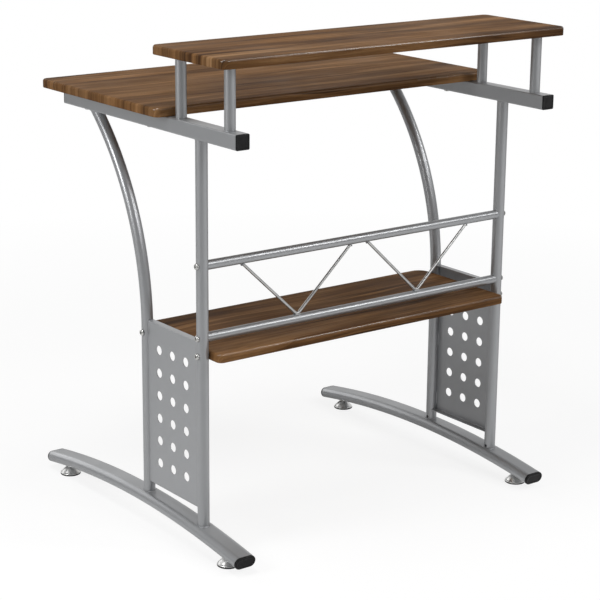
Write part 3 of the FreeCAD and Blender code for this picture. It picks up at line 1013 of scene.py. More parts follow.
class ThreadTree(GeometryTree):
    """A screw thread's ridge wound round each point's upright axis."""

    STEPS_PER_TURN = 32
    RIDGE_POINTS = 4

    def __init__(self) -> None:
        """Build the tree."""
        names = ("Ridge Radius", "Pitch Radius", "Length", "Turns")
        super().__init__("screw_thread", dict.fromkeys(names, FLOAT))
        given = self.given
        winding = {
            "Resolution": self.STEPS_PER_TURN,
            "Rotations": given["Turns"],
            "Start Radius": given["Pitch Radius"],
            "End Radius": given["Pitch Radius"],
            "Height": given["Length"],
        }
        spiral = self.out("GeometryNodeCurveSpiral", winding)
        upright = self.out("GeometryNodeSetCurveNormal", {"Curve": spiral}, mode="Z_UP")
        ring = {"Resolution": self.RIDGE_POINTS, "Radius": given["Ridge Radius"]}
        ridge = self.out("GeometryNodeCurvePrimitiveCircle", ring)
        inputs = {"Curve": upright, "Profile Curve": ridge, "Fill Caps": True}
        wound = self.out("GeometryNodeCurveToMesh", inputs)
        self.close(self.out("GeometryNodeInstanceOnPoints", {"Points": given["Geometry"], "Instance": wound}))


@dataclass
class Workshop:
    """The finishes and the node trees that the sub-assemblies share."""

    finishes: Finishes = field(default_factory=Finishes)
    weld: WeldTree = field(default_factory=WeldTree)
    bolt_row: BoltTree = field(default_factory=BoltTree)
    thread: ThreadTree = field(default_factory=ThreadTree)


@dataclass
class Assembly:
    """A sub-assembly, which takes its finishes and trees from the workshop."""

    shop: Workshop


# Boards

@dataclass
class Board(Assembly):
    """A laminate board: film folded over the top and all edges, backing paper below."""

    FILM = "film"

    node: str
    corner_radii: tuple[float, float]
    film_start: Vector
    top_edge: float = 0.0035
    bottom_edge: float = 0.0012
    bottom_steps: int = 4
    flat_margin: float = 0.004
    side_margin: float = 0.0006
    fold_steps: int = 6
    fold_start: int = 2
    fold_turn: float = 0.25

    def profile(self, thickness: float) -> Profile:
        """The board's edge from the top flat to the underside.

        Args:
            thickness: The board's thickness.

        Returns:
            Inset and drop of each ring.
        """
        top = [(self.top_edge + self.flat_margin, 0.0)] + quarter_turn(self.top_edge, self.fold_steps)
        side_low = thickness - self.bottom_edge
        side = [(0.0, self.top_edge + self.side_margin), (0.0, side_low - self.side_margin)]
        turn = reversed(quarter_turn(self.bottom_edge, self.bottom_steps))
        bottom = [(inset, thickness - drop) for inset, drop in turn]
        return top + side + bottom + [(self.bottom_edge + self.flat_margin, thickness)]

    def build(self) -> None:
        """Build the board over its solid, map the film and place it."""
        low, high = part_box(self.node)
        size = high - low
        place = Vector(((low.x + high.x) / 2, (low.y + high.y) / 2, high.z))
        profile = self.profile(size.z)
        rings = [rounded_ring(size.x, size.y, self.corner_radii, inset, -drop) for inset, drop in profile]
        mesh = moved(self.skin(rings, self.film_rings(rings, profile)), Matrix.Translation(place))
        finishes = self.shop.finishes
        for finish in (finishes.walnut, finishes.backing, finishes.fold):
            mesh.materials.append(finish)
        add_piece(self.node + "_board", mesh, DESK, Slot.WALNUT, self.node)

    def film_rings(self, rings: list[Ring], profile: Profile) -> list[Ring]:
        """Where each ring's points lie on the film before it was folded over the edges.

        Args:
            rings: The board's rings.
            profile: Inset and drop of each ring.

        Returns:
            A ring on the flat film for each ring of the board.
        """
        fold_ring = rings[1]
        films = [rings[0], fold_ring]
        run = 0.0
        for (inset, drop), (next_inset, next_drop) in zip(profile[1:], profile[2:]):
            run += math.hypot(next_inset - inset, next_drop - drop)
            films.append([self.unfolded(index, fold_ring, run) for index in range(len(fold_ring))])
        return films

    def unfolded(self, index: int, ring: Ring, run: float) -> Vector:
        """A point on the film past the fold, square to the board's outline.

        Args:
            index: Which point of the ring it lies beyond.
            ring: The ring where the film starts to fold.
            run: Its distance past the fold.

        Returns:
            The point on the flat film.
        """
        before, point, after = ring[index - 1], ring[index], ring[(index + 1) % len(ring)]
        along = (after - point).normalized() + (point - before).normalized()
        outward = Vector((along.y, -along.x, 0)).normalized()
        return point + outward * run

    def skin(self, rings: list[Ring], films: list[Ring]) -> Mesh:
        """Skin the rings with the film's map; the backing covers the underside.

        Args:
            rings: The board's rings, from the top down.
            films: Their places on the film.

        Returns:
            The board's mesh about the origin.
        """
        shape = bmesh.new()
        film_map = shape.loops.layers.uv.new(self.FILM)
        rows = [[shape.verts.new(point) for point in ring] for ring in rings]
        places = {}
        for row, film in zip(rows, films):
            places.update({vert: point + self.film_start for vert, point in zip(row, film)})
        faces = [shape.faces.new(rows[0])]
        for row, following in zip(rows, rows[1:]):
            for step in range(len(row)):
                after = (step + 1) % len(row)
                faces.append(shape.faces.new((row[step], following[step], following[after], row[after])))
        faces.append(shape.faces.new(rows[-1][::-1]))
        row_faces = len(rows[0])
        for face in faces[-row_faces - 1:]:
            face.material_index = 1
        for face in faces[1 + row_faces * (1 + self.fold_start):1 + row_faces * (1 + self.fold_steps)]:
            face.normal_update()
            face.material_index = 2 if abs(face.normal.y) > self.fold_turn else 0
        for face in faces:
            face.smooth = True
            for loop in face.loops:
                loop[film_map].uv = places[loop.vert].xy
        mesh = bpy.data.meshes.new(self.node + "_board")
        shape.to_mesh(mesh)
        shape.free()
        return mesh


# Side frames

@dataclass
class Welds(Assembly):
    """A set of weld beads, laid as one piece."""

    name: str
    paths: list[Path]
    ripple_pitch: float
    step: float
    seed: float
    ripple_share: float = 0.10
    bead_radius: float = 0.0011

    def build(self) -> None:
        """Lay the beads."""
        values = {
            "Bead Radius": self.bead_radius,
            "Ripple Pitch": self.ripple_pitch,
            "Ripple Share": self.ripple_share,
            "Step": self.step,
            "Seed": self.seed,
            "Material": self.shop.finishes.weld,
        }
        mesh = self.shop.weld.grow(self.name, paths_mesh(self.name + "_paths", self.paths), values)
        add_piece(self.name, mesh, DESK, Slot.SILVER)


@dataclass
class Foot(Assembly):
    """One arched foot: a flat-oval tube with a wall, bent to a circle and holed for its two screws."""

    side: str
    half_width: float = 0.020
    half_height: float = 0.010
    wall: float = TUBE_WALL
    arch_radius: float = ARCH_RADIUS
    cap_flange: float = FOOT_CAP_FLANGE
    half_length: float = FOOT_HALF_LENGTH
    support_share: float = 0.86
    hole_radius: float = 0.00705
    hole_bottom: float = 0.004
    arch_steps: int = 40
    turn_steps: int = 16

    def __post_init__(self) -> None:
        """Read the foot's place and height from the frame."""
        self.node = self.side + "_foot"
        self.x = middle(self.node).x
        self.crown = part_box(self.node)[1].z

    def oval(self, inset: float) -> Profile:
        """The tube's outline, wide along the first axis, with a support point beside each tangent line.

        Args:
            inset: How far it lies inside the tube's outside.

        Returns:
            Its points.
        """
        reach = self.half_width - self.half_height
        radius = self.half_height - inset
        points = []
        for sign, start in ((1, -90), (-1, 90)):
            points.append((sign * reach * self.support_share, -sign * radius))
            for step in range(self.turn_steps + 1):
                angle = math.radians(start + 180 * step / self.turn_steps)
                points.append((sign * reach + radius * math.cos(angle), radius * math.sin(angle)))
            points.append((sign * reach * self.support_share, sign * radius))
        return points

    def section(self, inset: float, angle: float) -> Ring:
        """The outline at an angle along the arch.

        Args:
            inset: How far it lies inside the tube's outside.
            angle: The angle from the crown.

        Returns:
            The ring's points.
        """
        centre_z = self.crown - self.half_height - self.arch_radius
        outward = Vector((0, math.sin(angle), math.cos(angle)))
        middle_line = Vector((self.x, 0, centre_z)) + self.arch_radius * outward
        return [middle_line + Vector((across, 0, 0)) + up * outward for across, up in self.oval(inset)]

    def drills(self) -> list[Mesh]:
        """A cutter for each levelling screw's bush.

        Returns:
            The cutters, in place.
        """
        drills = []
        for end in ENDS:
            centre = middle(end + "_" + self.side + "_leveller_pad")
            heights = (self.hole_bottom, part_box("leveller_bushes")[1].z)
            drill = lathe("drill", [(self.hole_radius, z) for z in heights])
            drills.append(moved(drill, Matrix.Translation((centre.x, centre.y, 0))))
        return drills

    def build(self) -> None:
        """Sweep the tube, drill it for its screws and place it."""
        end_angle = math.asin((self.half_length - self.cap_flange) / self.arch_radius)
        angles = [end_angle * (2 * step / self.arch_steps - 1) for step in range(self.arch_steps + 1)]
        outside = [self.section(0.0, angle) for angle in angles]
        inside = [self.section(self.wall, angle) for angle in reversed(angles)]
        blank = loft(self.node + "_blank", outside + inside, hollow=True)
        mesh = cut_away(self.node + "_tube", blank, self.drills())
        add_piece(mesh.name, dress(mesh, self.shop.finishes.silver), DESK, Slot.SILVER, self.node)


@dataclass
class Post(Assembly):
    """One round tube from foot to rail, with a drain hole low in its inner wall."""

    side: str
    part: str = "rear_post"
    radius: float = POST_RADIUS
    sink: float = 0.0007
    drain_radius: float = 0.0028
    drain_height: float = 0.0045

    def __post_init__(self) -> None:
        """Read the tube's place and ends from the frame."""
        self.node = self.side + "_" + self.part
        low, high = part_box(self.node)
        self.x = (low.x + high.x) / 2
        self.y = high.y - self.radius
        self.bottom, self.top = low.z, high.z

    def rings(self) -> list[Ring]:
        """Rings at the foot and inside the rail."""
        return [turned_ring(self.radius, z) for z in (self.bottom - self.sink, self.top + 2 * self.sink)]

    def build(self) -> None:
        """Sweep the tube, trim it inside the rail, drill its drain hole and place it."""
        blank = trimmed(loft(self.node + "_blank", self.rings()), self.top + self.sink)
        blank = moved(blank, Matrix.Translation((self.x, self.y, 0)))
        inward = Matrix.Rotation(math.radians(-90 * SIDES[self.side]), 4, "Y")
        place = Matrix.Translation((self.x, self.y, self.bottom + self.drain_height))
        drill = lathe("drain", [(self.drain_radius, z) for z in (0.0, 2 * self.radius)])
        mesh = cut_away(self.node + "_tube", blank, [moved(drill, place @ inward)])
        add_piece(mesh.name, dress(mesh, self.shop.finishes.silver), DESK, Slot.SILVER, self.node)


@dataclass
class FrontLeg(Post):
    """One front leg: straight up from the foot and then bent forward into the rail."""

    part: str = "front_leg"
    bend_bottom: float = 0.348
    top_y: float = LEG_TOP_Y
    bend_steps: int = 56

    def rings(self) -> list[Ring]:
        """Rings along the straight run and the bend, which goes on into the rail.

        Returns:
            The rings, about the straight run's axis.
        """
        reach, rise = self.y - self.top_y, self.top - self.bend_bottom
        bend_radius = (reach**2 + rise**2) / (2 * reach)
        bend_angle = math.atan2(rise, bend_radius - reach) + 2 * self.radius / bend_radius
        rings = [turned_ring(self.radius, z) for z in (self.bottom - self.sink, self.bend_bottom)]
        start = rings[-1]
        centre = Matrix.Translation((0, -bend_radius, self.bend_bottom))
        for step in range(1, self.bend_steps + 1):
            lean = Matrix.Rotation(bend_angle * step / self.bend_steps, 4, "X")
            turn = centre @ lean @ centre.inverted()
            rings.append([turn @ point for point in start])
        return rings


@dataclass
class SideFrames(Assembly):
    """The two welded side frames: rails, posts, legs, feet and perforated panels, with their weld beads."""

    post_radius: float = POST_RADIUS
    leg_lean: float = math.radians(46.9)
    leg_top_y: float = LEG_TOP_Y
    arch_radius: float = ARCH_RADIUS
    panel_inner_x: float = 0.0038
    stitch_length: float = 0.022
    stitch_heights: tuple[float, ...] = (0.098, 0.215, 0.330)
    base_weld_half_angle: float = math.radians(52)
    ring_steps: int = 40
    nodes: tuple[str, ...] = ("top_rail", "front_shelf_post", "rear_shelf_post", "side_panel")

    def __post_init__(self) -> None:
        """Read the places of the tubes from the frame."""
        self.frame_x = middle("right_rear_post").x
        self.rear_post_y = middle("right_rear_post").y
        self.front_leg_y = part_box("right_front_leg")[1].y - self.post_radius
        self.rail_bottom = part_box("right_top_rail")[0].z
        self.foot_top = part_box("right_foot")[1].z

    def base_arcs(self, x: float, y: float) -> list[Path]:
        """Open paths at the front and the rear of a tube where it stands on the foot.

        Args:
            x: The tube's place across the desk.
            y: Its place along the foot.

        Returns:
            The two paths.
        """
        paths = []
        for y_sign in ENDS.values():
            path = []
            for step in range(self.ring_steps + 1):
                angle = self.base_weld_half_angle * (2 * step / self.ring_steps - 1)
                along = y + y_sign * self.post_radius * math.cos(angle)
                height = self.foot_top - along * along / (2 * self.arch_radius)
                path.append(Vector((x + self.post_radius * math.sin(angle), along, height)))
            paths.append((path, False))
        return paths

    def rail_ring(self, x: float, y: float, y_stretch: float) -> Path:
        """A closed path round a tube where it meets the rail's underside.

        Args:
            x: The tube's place across the desk.
            y: Its place along the rail.
            y_stretch: How much longer its cut is along the rail than across.

        Returns:
            The path.
        """
        path = []
        for step in range(self.ring_steps):
            angle = math.tau * step / self.ring_steps
            along = y + self.post_radius * y_stretch * math.sin(angle)
            path.append(Vector((x + self.post_radius * math.cos(angle), along, self.rail_bottom)))
        return path, True

    def stitches(self, x_sign: int) -> list[Path]:
        """Short upright welds between the panel's inner face and the two tubes.

        Args:
            x_sign: The side of the desk.

        Returns:
            The paths.
        """
        reach = math.sqrt(self.post_radius**2 - self.panel_inner_x**2)
        x = x_sign * (self.frame_x + self.panel_inner_x)
        half = self.stitch_length / 2
        paths = []
        for y in (self.rear_post_y - reach, self.front_leg_y + reach):
            for z in self.stitch_heights:
                paths.append(([Vector((x, y, z - half)), Vector((x, y, z + half))], False))
        return paths

    def weld_paths(self) -> list[Path]:
        """Every weld of the two frames.

        Returns:
            The paths.
        """
        paths = []
        for x_sign in SIDES.values():
            x = x_sign * self.frame_x
            paths += self.base_arcs(x, self.rear_post_y)
            paths += self.base_arcs(x, self.front_leg_y)
            paths.append(self.rail_ring(x, self.rear_post_y, 1.0))
            paths.append(self.rail_ring(x, self.leg_top_y, 1 / math.cos(self.leg_lean)))
            paths += self.stitches(x_sign)
        return paths

    def build(self) -> None:
        """Build the feet and the legs, dress the other tubes and lay the weld beads."""
        for side in SIDES:
            for kind in (Foot, FrontLeg, Post):
                kind(self.shop, side).build()
        dress_nodes((side + "_" + node for side in SIDES for node in self.nodes), self.shop.finishes.silver)
        Welds(self.shop, "frame_welds", self.weld_paths(), ripple_pitch=0.0022, step=0.0006, seed=3.0).build()


@dataclass
class Truss(Assembly):
    """The two rear stretchers and the two bent rods welded between them."""

    stretcher_radius: float = 0.008
    rod_radius: float = 0.0025
    weld_drop: float = 0.001
    ring_steps: int = 20
    foot_weld_length: float = 0.012
    foot_weld_share: float = 0.9

    def rod_welds(self, side: str) -> list[Path]:
        """Rings round a rod's two upper ends, and two short beads beside its bend.

        Args:
            side: The rod's side of the desk.

        Returns:
            The paths.
        """
        low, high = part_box(side + "_truss_rod")
        upper, lower = middle("upper_stretcher"), middle("lower_stretcher")
        centre_x = (low.x + high.x) / 2
        half_span = (high.x - low.x) / 2
        half = self.foot_weld_length / 2
        depth = Vector((0, 1, 0))
        paths = []
        for sign in (-1, 1):
            direction = Vector((sign * half_span, 0, high.z - low.z)).normalized()
            end_x = centre_x + sign * (half_span - self.rod_radius)
            end = Vector((end_x, upper.y, upper.z - self.stretcher_radius))
            across = direction.cross(depth)
            ring = []
            for step in range(self.ring_steps):
                angle = math.tau * step / self.ring_steps
                spoke = depth * math.cos(angle) + across * math.sin(angle)
                ring.append(end - direction * self.weld_drop + spoke * self.rod_radius)
            paths.append((ring, True))
        for sign in (-1, 1):
            y = lower.y + sign * self.rod_radius * self.foot_weld_share
            z = lower.z + self.stretcher_radius
            paths.append(([Vector((centre_x - half, y, z)), Vector((centre_x + half, y, z))], False))
        return paths

    def build(self) -> None:
        """Dress the tubes and rods and lay their weld beads."""
        dress_nodes(("upper_stretcher", "lower_stretcher"), self.shop.finishes.silver)
        dress_nodes((side + "_truss_rod" for side in SIDES), self.shop.finishes.rod)
        paths = [path for side in SIDES for path in self.rod_welds(side)]
        Welds(self.shop, "truss_welds", paths, ripple_pitch=0.0016, step=0.0005, seed=8.0).build()


# Plastic caps

@dataclass
class EndCap:
    """A moulded plug for a tube's end: a dished face with a rounded rim, and a hollow plug behind it."""

    width: float
    height: float
    corner: float
    rim: float = 0.0026
    dish: float = 0.0007
    edge: float = 0.0009
    edge_steps: int = 5
    flange: float = 0.0025
    tube_wall: float = TUBE_WALL
    fit: float = 0.00005
    plug_wall: float = 0.002
    plug_length: float = 0.014

    def mesh(self, name: str) -> Mesh:
        """The cap at the origin, with its face towards +Z.

        Args:
            name: The mesh's name.

        Returns:
            A mesh from the dished face, round the rim and back along the plug.
        """
        plug = self.tube_wall + self.fit
        plug_end = -self.flange - self.plug_length
        rows = [
            (self.rim + 0.0022, -self.dish),
            (self.rim + 0.0008, -self.dish),
            (self.rim + 0.0003, -self.dish * 0.8),
            (self.rim, -self.dish * 0.15),
            (self.rim - 0.0003, 0.0),
        ]
        rows += [(inset, -drop) for inset, drop in quarter_turn(self.edge, self.edge_steps)]
        rows += [
            (0.0, -self.flange + 0.0001),
            (0.0001, -self.flange),
            (plug, -self.flange),
            (plug, plug_end + 0.0008),
            (plug + 0.0005, plug_end),
            (plug + self.plug_wall, plug_end),
            (plug + self.plug_wall, -self.flange),
        ]
        corners = (self.corner, self.corner)
        return loft(name, [rounded_ring(self.width, self.height, corners, inset, z) for inset, z in rows])


@dataclass
class EndCaps(Assembly):
    """The caps of both rails and both feet."""

    rail_cap: EndCap = field(default_factory=lambda: EndCap(0.025, 0.025, 0.0025))
    foot_cap: EndCap = field(
        default_factory=lambda: EndCap(0.040, 0.020, 0.010, rim=0.0034, edge=0.0018, flange=FOOT_CAP_FLANGE)
    )
    foot_half_length: float = FOOT_HALF_LENGTH
    arch_radius: float = ARCH_RADIUS

    def rail_place(self, node: str, y_sign: int) -> Matrix:
        """Where a rail's cap has the middle of its face.

        Args:
            node: The cap's solid.
            y_sign: The end of the desk.

        Returns:
            The place.
        """
        low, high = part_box(node)
        face_y = high.y if y_sign > 0 else low.y
        return Matrix.Translation(((low.x + high.x) / 2, face_y, (low.z + high.z) / 2))

    def foot_place(self, side: str, y_sign: int) -> Matrix:
        """Where a foot's cap has the middle of its face, tilted with the end of the arch.

        Args:
            side: The side of the desk.
            y_sign: The end of the desk.

        Returns:
            The place.
        """
        flange = self.foot_cap.flange
        tilt = math.asin((self.foot_half_length - flange) / self.arch_radius) + flange / self.arch_radius
        centre_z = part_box(side + "_foot")[1].z - self.foot_cap.height / 2 - self.arch_radius
        y, z = y_sign * self.arch_radius * math.sin(tilt), centre_z + self.arch_radius * math.cos(tilt)
        face = Vector((middle(side + "_foot").x, y, z))
        return Matrix.Translation(face) @ Matrix.Rotation(-y_sign * tilt, 4, "X")

    def build(self) -> None:
        """Build all eight caps, each over its solid."""
        for side in SIDES:
            for end, y_sign in ENDS.items():
                facing = Matrix.Rotation(math.radians(-90 * y_sign), 4, "X")
                rail, foot = (side + "_" + tube + "_" + end + "_cap" for tube in ("rail", "foot"))
                for node, cap, place in (
                    (rail, self.rail_cap, self.rail_place(rail, y_sign)),
                    (foot, self.foot_cap, self.foot_place(side, y_sign)),
                ):
                    mesh = moved(cap.mesh(node + "_moulding"), place @ facing)
                    add_piece(mesh.name, dress(mesh, self.shop.finishes.plastic), DESK, Slot.BLACK, node)


# Bolts

@dataclass
class BoltGroup:
    """Equal button-head bolts: where each is seated, which way it goes in, and how long it is."""

    node: str
    seats: list[Vector]
    axes: list[Vector]
    shank_length: float


@dataclass
class Bolts(Assembly):
    """All button-head bolts, each with a hexagon socket and an eased rim."""

    head_radius: float = 0.0055
    head_height: float = 0.0035
    head_side: float = 0.0007
    shank_radius: float = 0.003
    socket_flats: float = 0.004
    socket_depth: float = 0.002
    dome_share: float = 1.5
    dome_steps: int = 8
    shelf_shank: float = 0.030
    stretcher_shank: float = 0.040
    rail_wall: float = TUBE_WALL
    segments: int = 36

    def bolt_mesh(self, name: str, shank_length: float) -> Mesh:
        """One bolt with its seat at the origin and its shank along +Z.

        Args:
            name: The mesh's name.
            shank_length: The shank's length under the head.

        Returns:
            The bolt's mesh.
        """
        crown = -self.head_height
        socket = self.socket_flats / 2
        rows = [
            (0.0002, crown + self.socket_depth + 0.0006),
            (socket * 0.98, crown + self.socket_depth, Section.HEXAGON),
            (socket, crown + 0.0006, Section.HEXAGON),
            (socket + 0.0003, crown + 0.0001, Section.HEXAGON),
        ]
        dome_start = socket * self.dome_share
        for step in range(self.dome_steps + 1):
            turn = step / self.dome_steps * math.pi / 2
            radius = dome_start + (self.head_radius - dome_start) * math.sin(turn)
            rows.append((radius, crown + (self.head_height - self.head_side) * (1 - math.cos(turn))))
        rows += [
            (self.head_radius, -0.0003),
            (self.head_radius - 0.0003, 0.0),
            (self.shank_radius, 0.0),
            (self.shank_radius, shank_length - 0.0006),
            (self.shank_radius - 0.0006, shank_length),
        ]
        return lathe(name, rows, self.segments)

    def across_group(self, node: str, heights_and_ys: Profile, shank: float) -> BoltGroup:
        """Bolts that go in from both sides of the desk, along X.

        Args:
            node: The bolts' solid.
            heights_and_ys: Height and Y of each bolt on one side.
            shank: The length of their shanks.

        Returns:
            The group.
        """
        seat_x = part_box("right_rear_post")[1].x
        seats, axes = [], []
        for outward in SIDES.values():
            for z, y in heights_and_ys:
                seats.append(Vector((outward * seat_x, y, z)))
                axes.append(Vector((-outward, 0, 0)))
        return BoltGroup(node, seats, axes, shank)

    def upright_group(self, node: str, ys: Sequence[float], seat_z: float) -> BoltGroup:
        """Bolts that go up from a seat in both rails.

        Args:
            node: The bolts' solid.
            ys: Y of each bolt on one rail.
            seat_z: The seats' height.

        Returns:
            The group.
        """
        frame_x = middle("right_top_rail").x
        seats = [Vector((side * frame_x, y, seat_z)) for side in SIDES.values() for y in ys]
        return BoltGroup(node, seats, [Vector((0, 0, 1))] * len(seats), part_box(node)[1].z - seat_z)

    def groups(self) -> list[BoltGroup]:
        """The desk's four groups of bolts, from the frame.

        Returns:
            The groups.
        """
        low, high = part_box("desktop_bolts")
        desktop_ys = (low.y + self.head_radius, high.y - self.head_radius)
        rail_low, rail_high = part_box("right_top_rail")
        leg_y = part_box("lower_shelf_bolts")[0].y + self.head_radius
        post_y = middle("right_rear_post").y
        shelf_z = middle("lower_shelf_bolts").z
        shelf_posts = [middle("right_" + end + "_shelf_post").y for end in ENDS]
        stretchers = [(middle(name).z, post_y) for name in ("upper_stretcher", "lower_stretcher")]
        return [
            self.upright_group("desktop_bolts", desktop_ys, rail_low.z),
            self.upright_group("shelf_post_bolts", shelf_posts, rail_high.z - self.rail_wall),
            self.across_group("lower_shelf_bolts", [(shelf_z, leg_y), (shelf_z, post_y)], self.shelf_shank),
            self.across_group("stretcher_bolts", stretchers, self.stretcher_shank),
        ]

    def build(self) -> None:
        """Build each group over its solids."""
        for group in self.groups():
            name = group.node + "_set"
            bolt = linked(group.node + "_one", self.bolt_mesh(group.node + "_one", group.shank_length))
            seeds = points_mesh(group.node + "_seats", group.seats, group.axes)
            values = {"Bolt": bolt, "Material": self.shop.finishes.zinc}
            mesh = self.shop.bolt_row.grow(name, seeds, values)
            bpy.data.objects.remove(bolt)
            add_piece(name, mesh, DESK, Slot.ZINC, group.node)


# Levellers

@dataclass
class Leveller(Assembly):
    """One screw foot: a plastic pad, a chromed cup with a rolled rim, and a stud with a hexagon collar."""

    place: str
    pad_radius: float = 0.0185
    pad_height: float = 0.002
    pad_shoulder: float = 0.0008
    groove_radii: tuple[float, ...] = (0.0085, 0.0145)
    groove_depth: float = 0.0005
    cup_radius: float = 0.018
    cup_top_radius: float = 0.007
    cup_belly: float = 0.35
    cup_points: int = 64
    flare_steps: int = 10
    neck_radius: float = 0.0043
    stud_foot_radius: float = 0.0055
    stud_radius: float = 0.004
    collar_flats: float = 0.013
    collar_gap: float = 0.0003
    collar_height: float = 0.002
    pitch: float = 0.00125
    core_depth: float = 0.6
    ridge_share: float = 0.48
    lead_in: float = 0.3
    run_out: float = 0.5

    def __post_init__(self) -> None:
        """Read the heights of the cup and the stud, and the leveller's place, from the frame."""
        self.cup_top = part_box(self.place + "_leveller_cup")[1].z
        self.stud_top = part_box(self.place + "_leveller_stud")[1].z
        self.collar_bottom = self.cup_top + self.collar_gap
        self.centre = middle(self.place + "_leveller_pad")

    def turned(self, name: str, rows: list[tuple], count: int = 48, hollow: bool = False) -> Mesh:
        """Turn rows over the leveller's place on the floor."""
        mesh = lathe(self.place + name, rows, count, hollow)
        return moved(mesh, Matrix.Translation((self.centre.x, self.centre.y, 0)))

    def pad_mesh(self) -> Mesh:
        """A disc with a rounded shoulder, an eased foot and two grip grooves underneath.

        Returns:
            The pad's mesh.
        """
        outer, top, depth = self.pad_radius, self.pad_height, self.groove_depth
        rows = [(0.0015, 0.0)]
        for radius in self.groove_radii:
            rows += [(radius, 0.0), (radius + 0.0005, depth), (radius + 0.0015, depth), (radius + 0.002, 0.0)]
        rows += [(outer - 0.0004, 0.0), (outer, 0.0004)]
        rows += [(outer - inset, top - drop) for inset, drop in reversed(quarter_turn(self.pad_shoulder, 5))]
        rows += [(outer - 0.004, top), (0.0015, top)]
        return self.turned("_leveller_disc", rows)

    def cup_mesh(self) -> Mesh:
        """A flared cup with a rolled rim, hollow underneath and open at its neck.

        Returns:
            The cup's mesh.
        """
        base, top = self.pad_height, self.cup_top
        rim, neck, shoulder = self.cup_radius, self.neck_radius, self.cup_top_radius
        rows = [
            (rim - 0.0006, base),
            (rim - 0.0001, base + 0.0004),
            (rim, base + 0.0010),
            (rim - 0.0003, base + 0.0016),
            (rim - 0.0010, base + 0.0021),
            (rim - 0.0018, base + 0.0024),
        ]
        (start_radius, start_z), (end_radius, end_z) = rows[-1], (shoulder, top - 0.0006)
        for step in range(1, self.flare_steps + 1):
            share = step / self.flare_steps
            rise = share * (1 + self.cup_belly - self.cup_belly * share)
            radius = start_radius + (end_radius - start_radius) * share
            rows.append((radius, start_z + (end_z - start_z) * rise))
        rows += [(shoulder - 0.0004, top - 0.0001), (shoulder - 0.001, top)]
        rows += [(neck + 0.0003, top), (neck, top - 0.0003), (neck, top - 0.0012)]
        rows += [(shoulder - 0.0016, top - 0.0016), (rim - 0.0032, base + 0.0008), (rim - 0.0018, base)]
        return self.turned("_leveller_cone", rows, self.cup_points, hollow=True)

    def stud_core(self) -> Mesh:
        """The stud without its thread: a swivel foot, a neck, a hexagon collar and the thread's core.

        Returns:
            The core's mesh.
        """
        low = self.pad_height + 0.0003
        flats = self.collar_flats / 2
        collar_bottom, collar_top = self.collar_bottom, self.collar_bottom + self.collar_height
        core = self.stud_radius - self.pitch * self.core_depth
        rows = [
            (0.001, low),
            (self.stud_foot_radius - 0.0004, low),
            (self.stud_foot_radius, low + 0.0004),
            (self.stud_foot_radius, low + 0.0020),
            (self.stud_radius, low + 0.0022),
            (self.stud_radius, collar_bottom),
            (flats * 0.97, collar_bottom),
            (flats, collar_bottom + 0.0005, Section.HEXAGON),
            (flats, collar_top - 0.0005, Section.HEXAGON),
            (flats * 0.97, collar_top),
            (core, collar_top),
            (core, self.stud_top - 0.0006),
            (core - 0.0006, self.stud_top),
        ]
        return self.turned("_leveller_core", rows)

    def thread_mesh(self) -> Mesh:
        """The thread's ridge, wound round the stud's core from the collar to its top.

        Returns:
            The ridge's mesh.
        """
        start = self.collar_bottom + self.collar_height + self.pitch * self.lead_in
        length = self.stud_top - start - self.pitch * self.run_out
        ridge = self.pitch * self.ridge_share
        values = {
            "Ridge Radius": ridge,
            "Pitch Radius": self.stud_radius - ridge,
            "Length": length,
            "Turns": length / self.pitch,
            "Material": self.shop.finishes.zinc,
        }
        seed = points_mesh(self.place + "_thread_seed", [Vector((self.centre.x, self.centre.y, start))])
        return self.shop.thread.grow(self.place + "_leveller_thread", seed, values)

    def build(self) -> None:
        """Build the pad, the cup and the stud over their solids."""
        finishes = self.shop.finishes
        base, screw = self.place + "_leveller_base", self.place + "_leveller_screw"
        pad, cup, stud = (self.place + "_leveller_" + name for name in ("pad", "cup", "stud"))
        add_piece(pad + "_disc", dress(self.pad_mesh(), finishes.plastic), base, Slot.BLACK, pad)
        add_piece(cup + "_cone", dress(self.cup_mesh(), finishes.chrome), base, Slot.CHROME, cup)
        whole = joined(stud + "_screw", [dress(self.stud_core(), finishes.zinc), self.thread_mesh()])
        add_piece(stud + "_screw", whole, screw, Slot.ZINC, stud)


# Studio

@dataclass
class SoftBox:
    """One large soft lamp that looks at the desk."""

    name: str
    place: Direction
    width: float
    height: float
    power: float
    aim: Direction = (0.0, 0.0, 0.45)

    def build(self) -> None:
        """Hang the lamp."""
        data = bpy.data.lights.new(self.name, "AREA")
        data.shape = "RECTANGLE"
        data.size = self.width
        data.size_y = self.height
        data.energy = self.power
        lamp = linked(self.name, data)
        lamp.location = self.place
        lamp.rotation_mode = "QUATERNION"
        lamp.rotation_quaternion = (Vector(self.aim) - Vector(self.place)).to_track_quat("-Z", "Y")


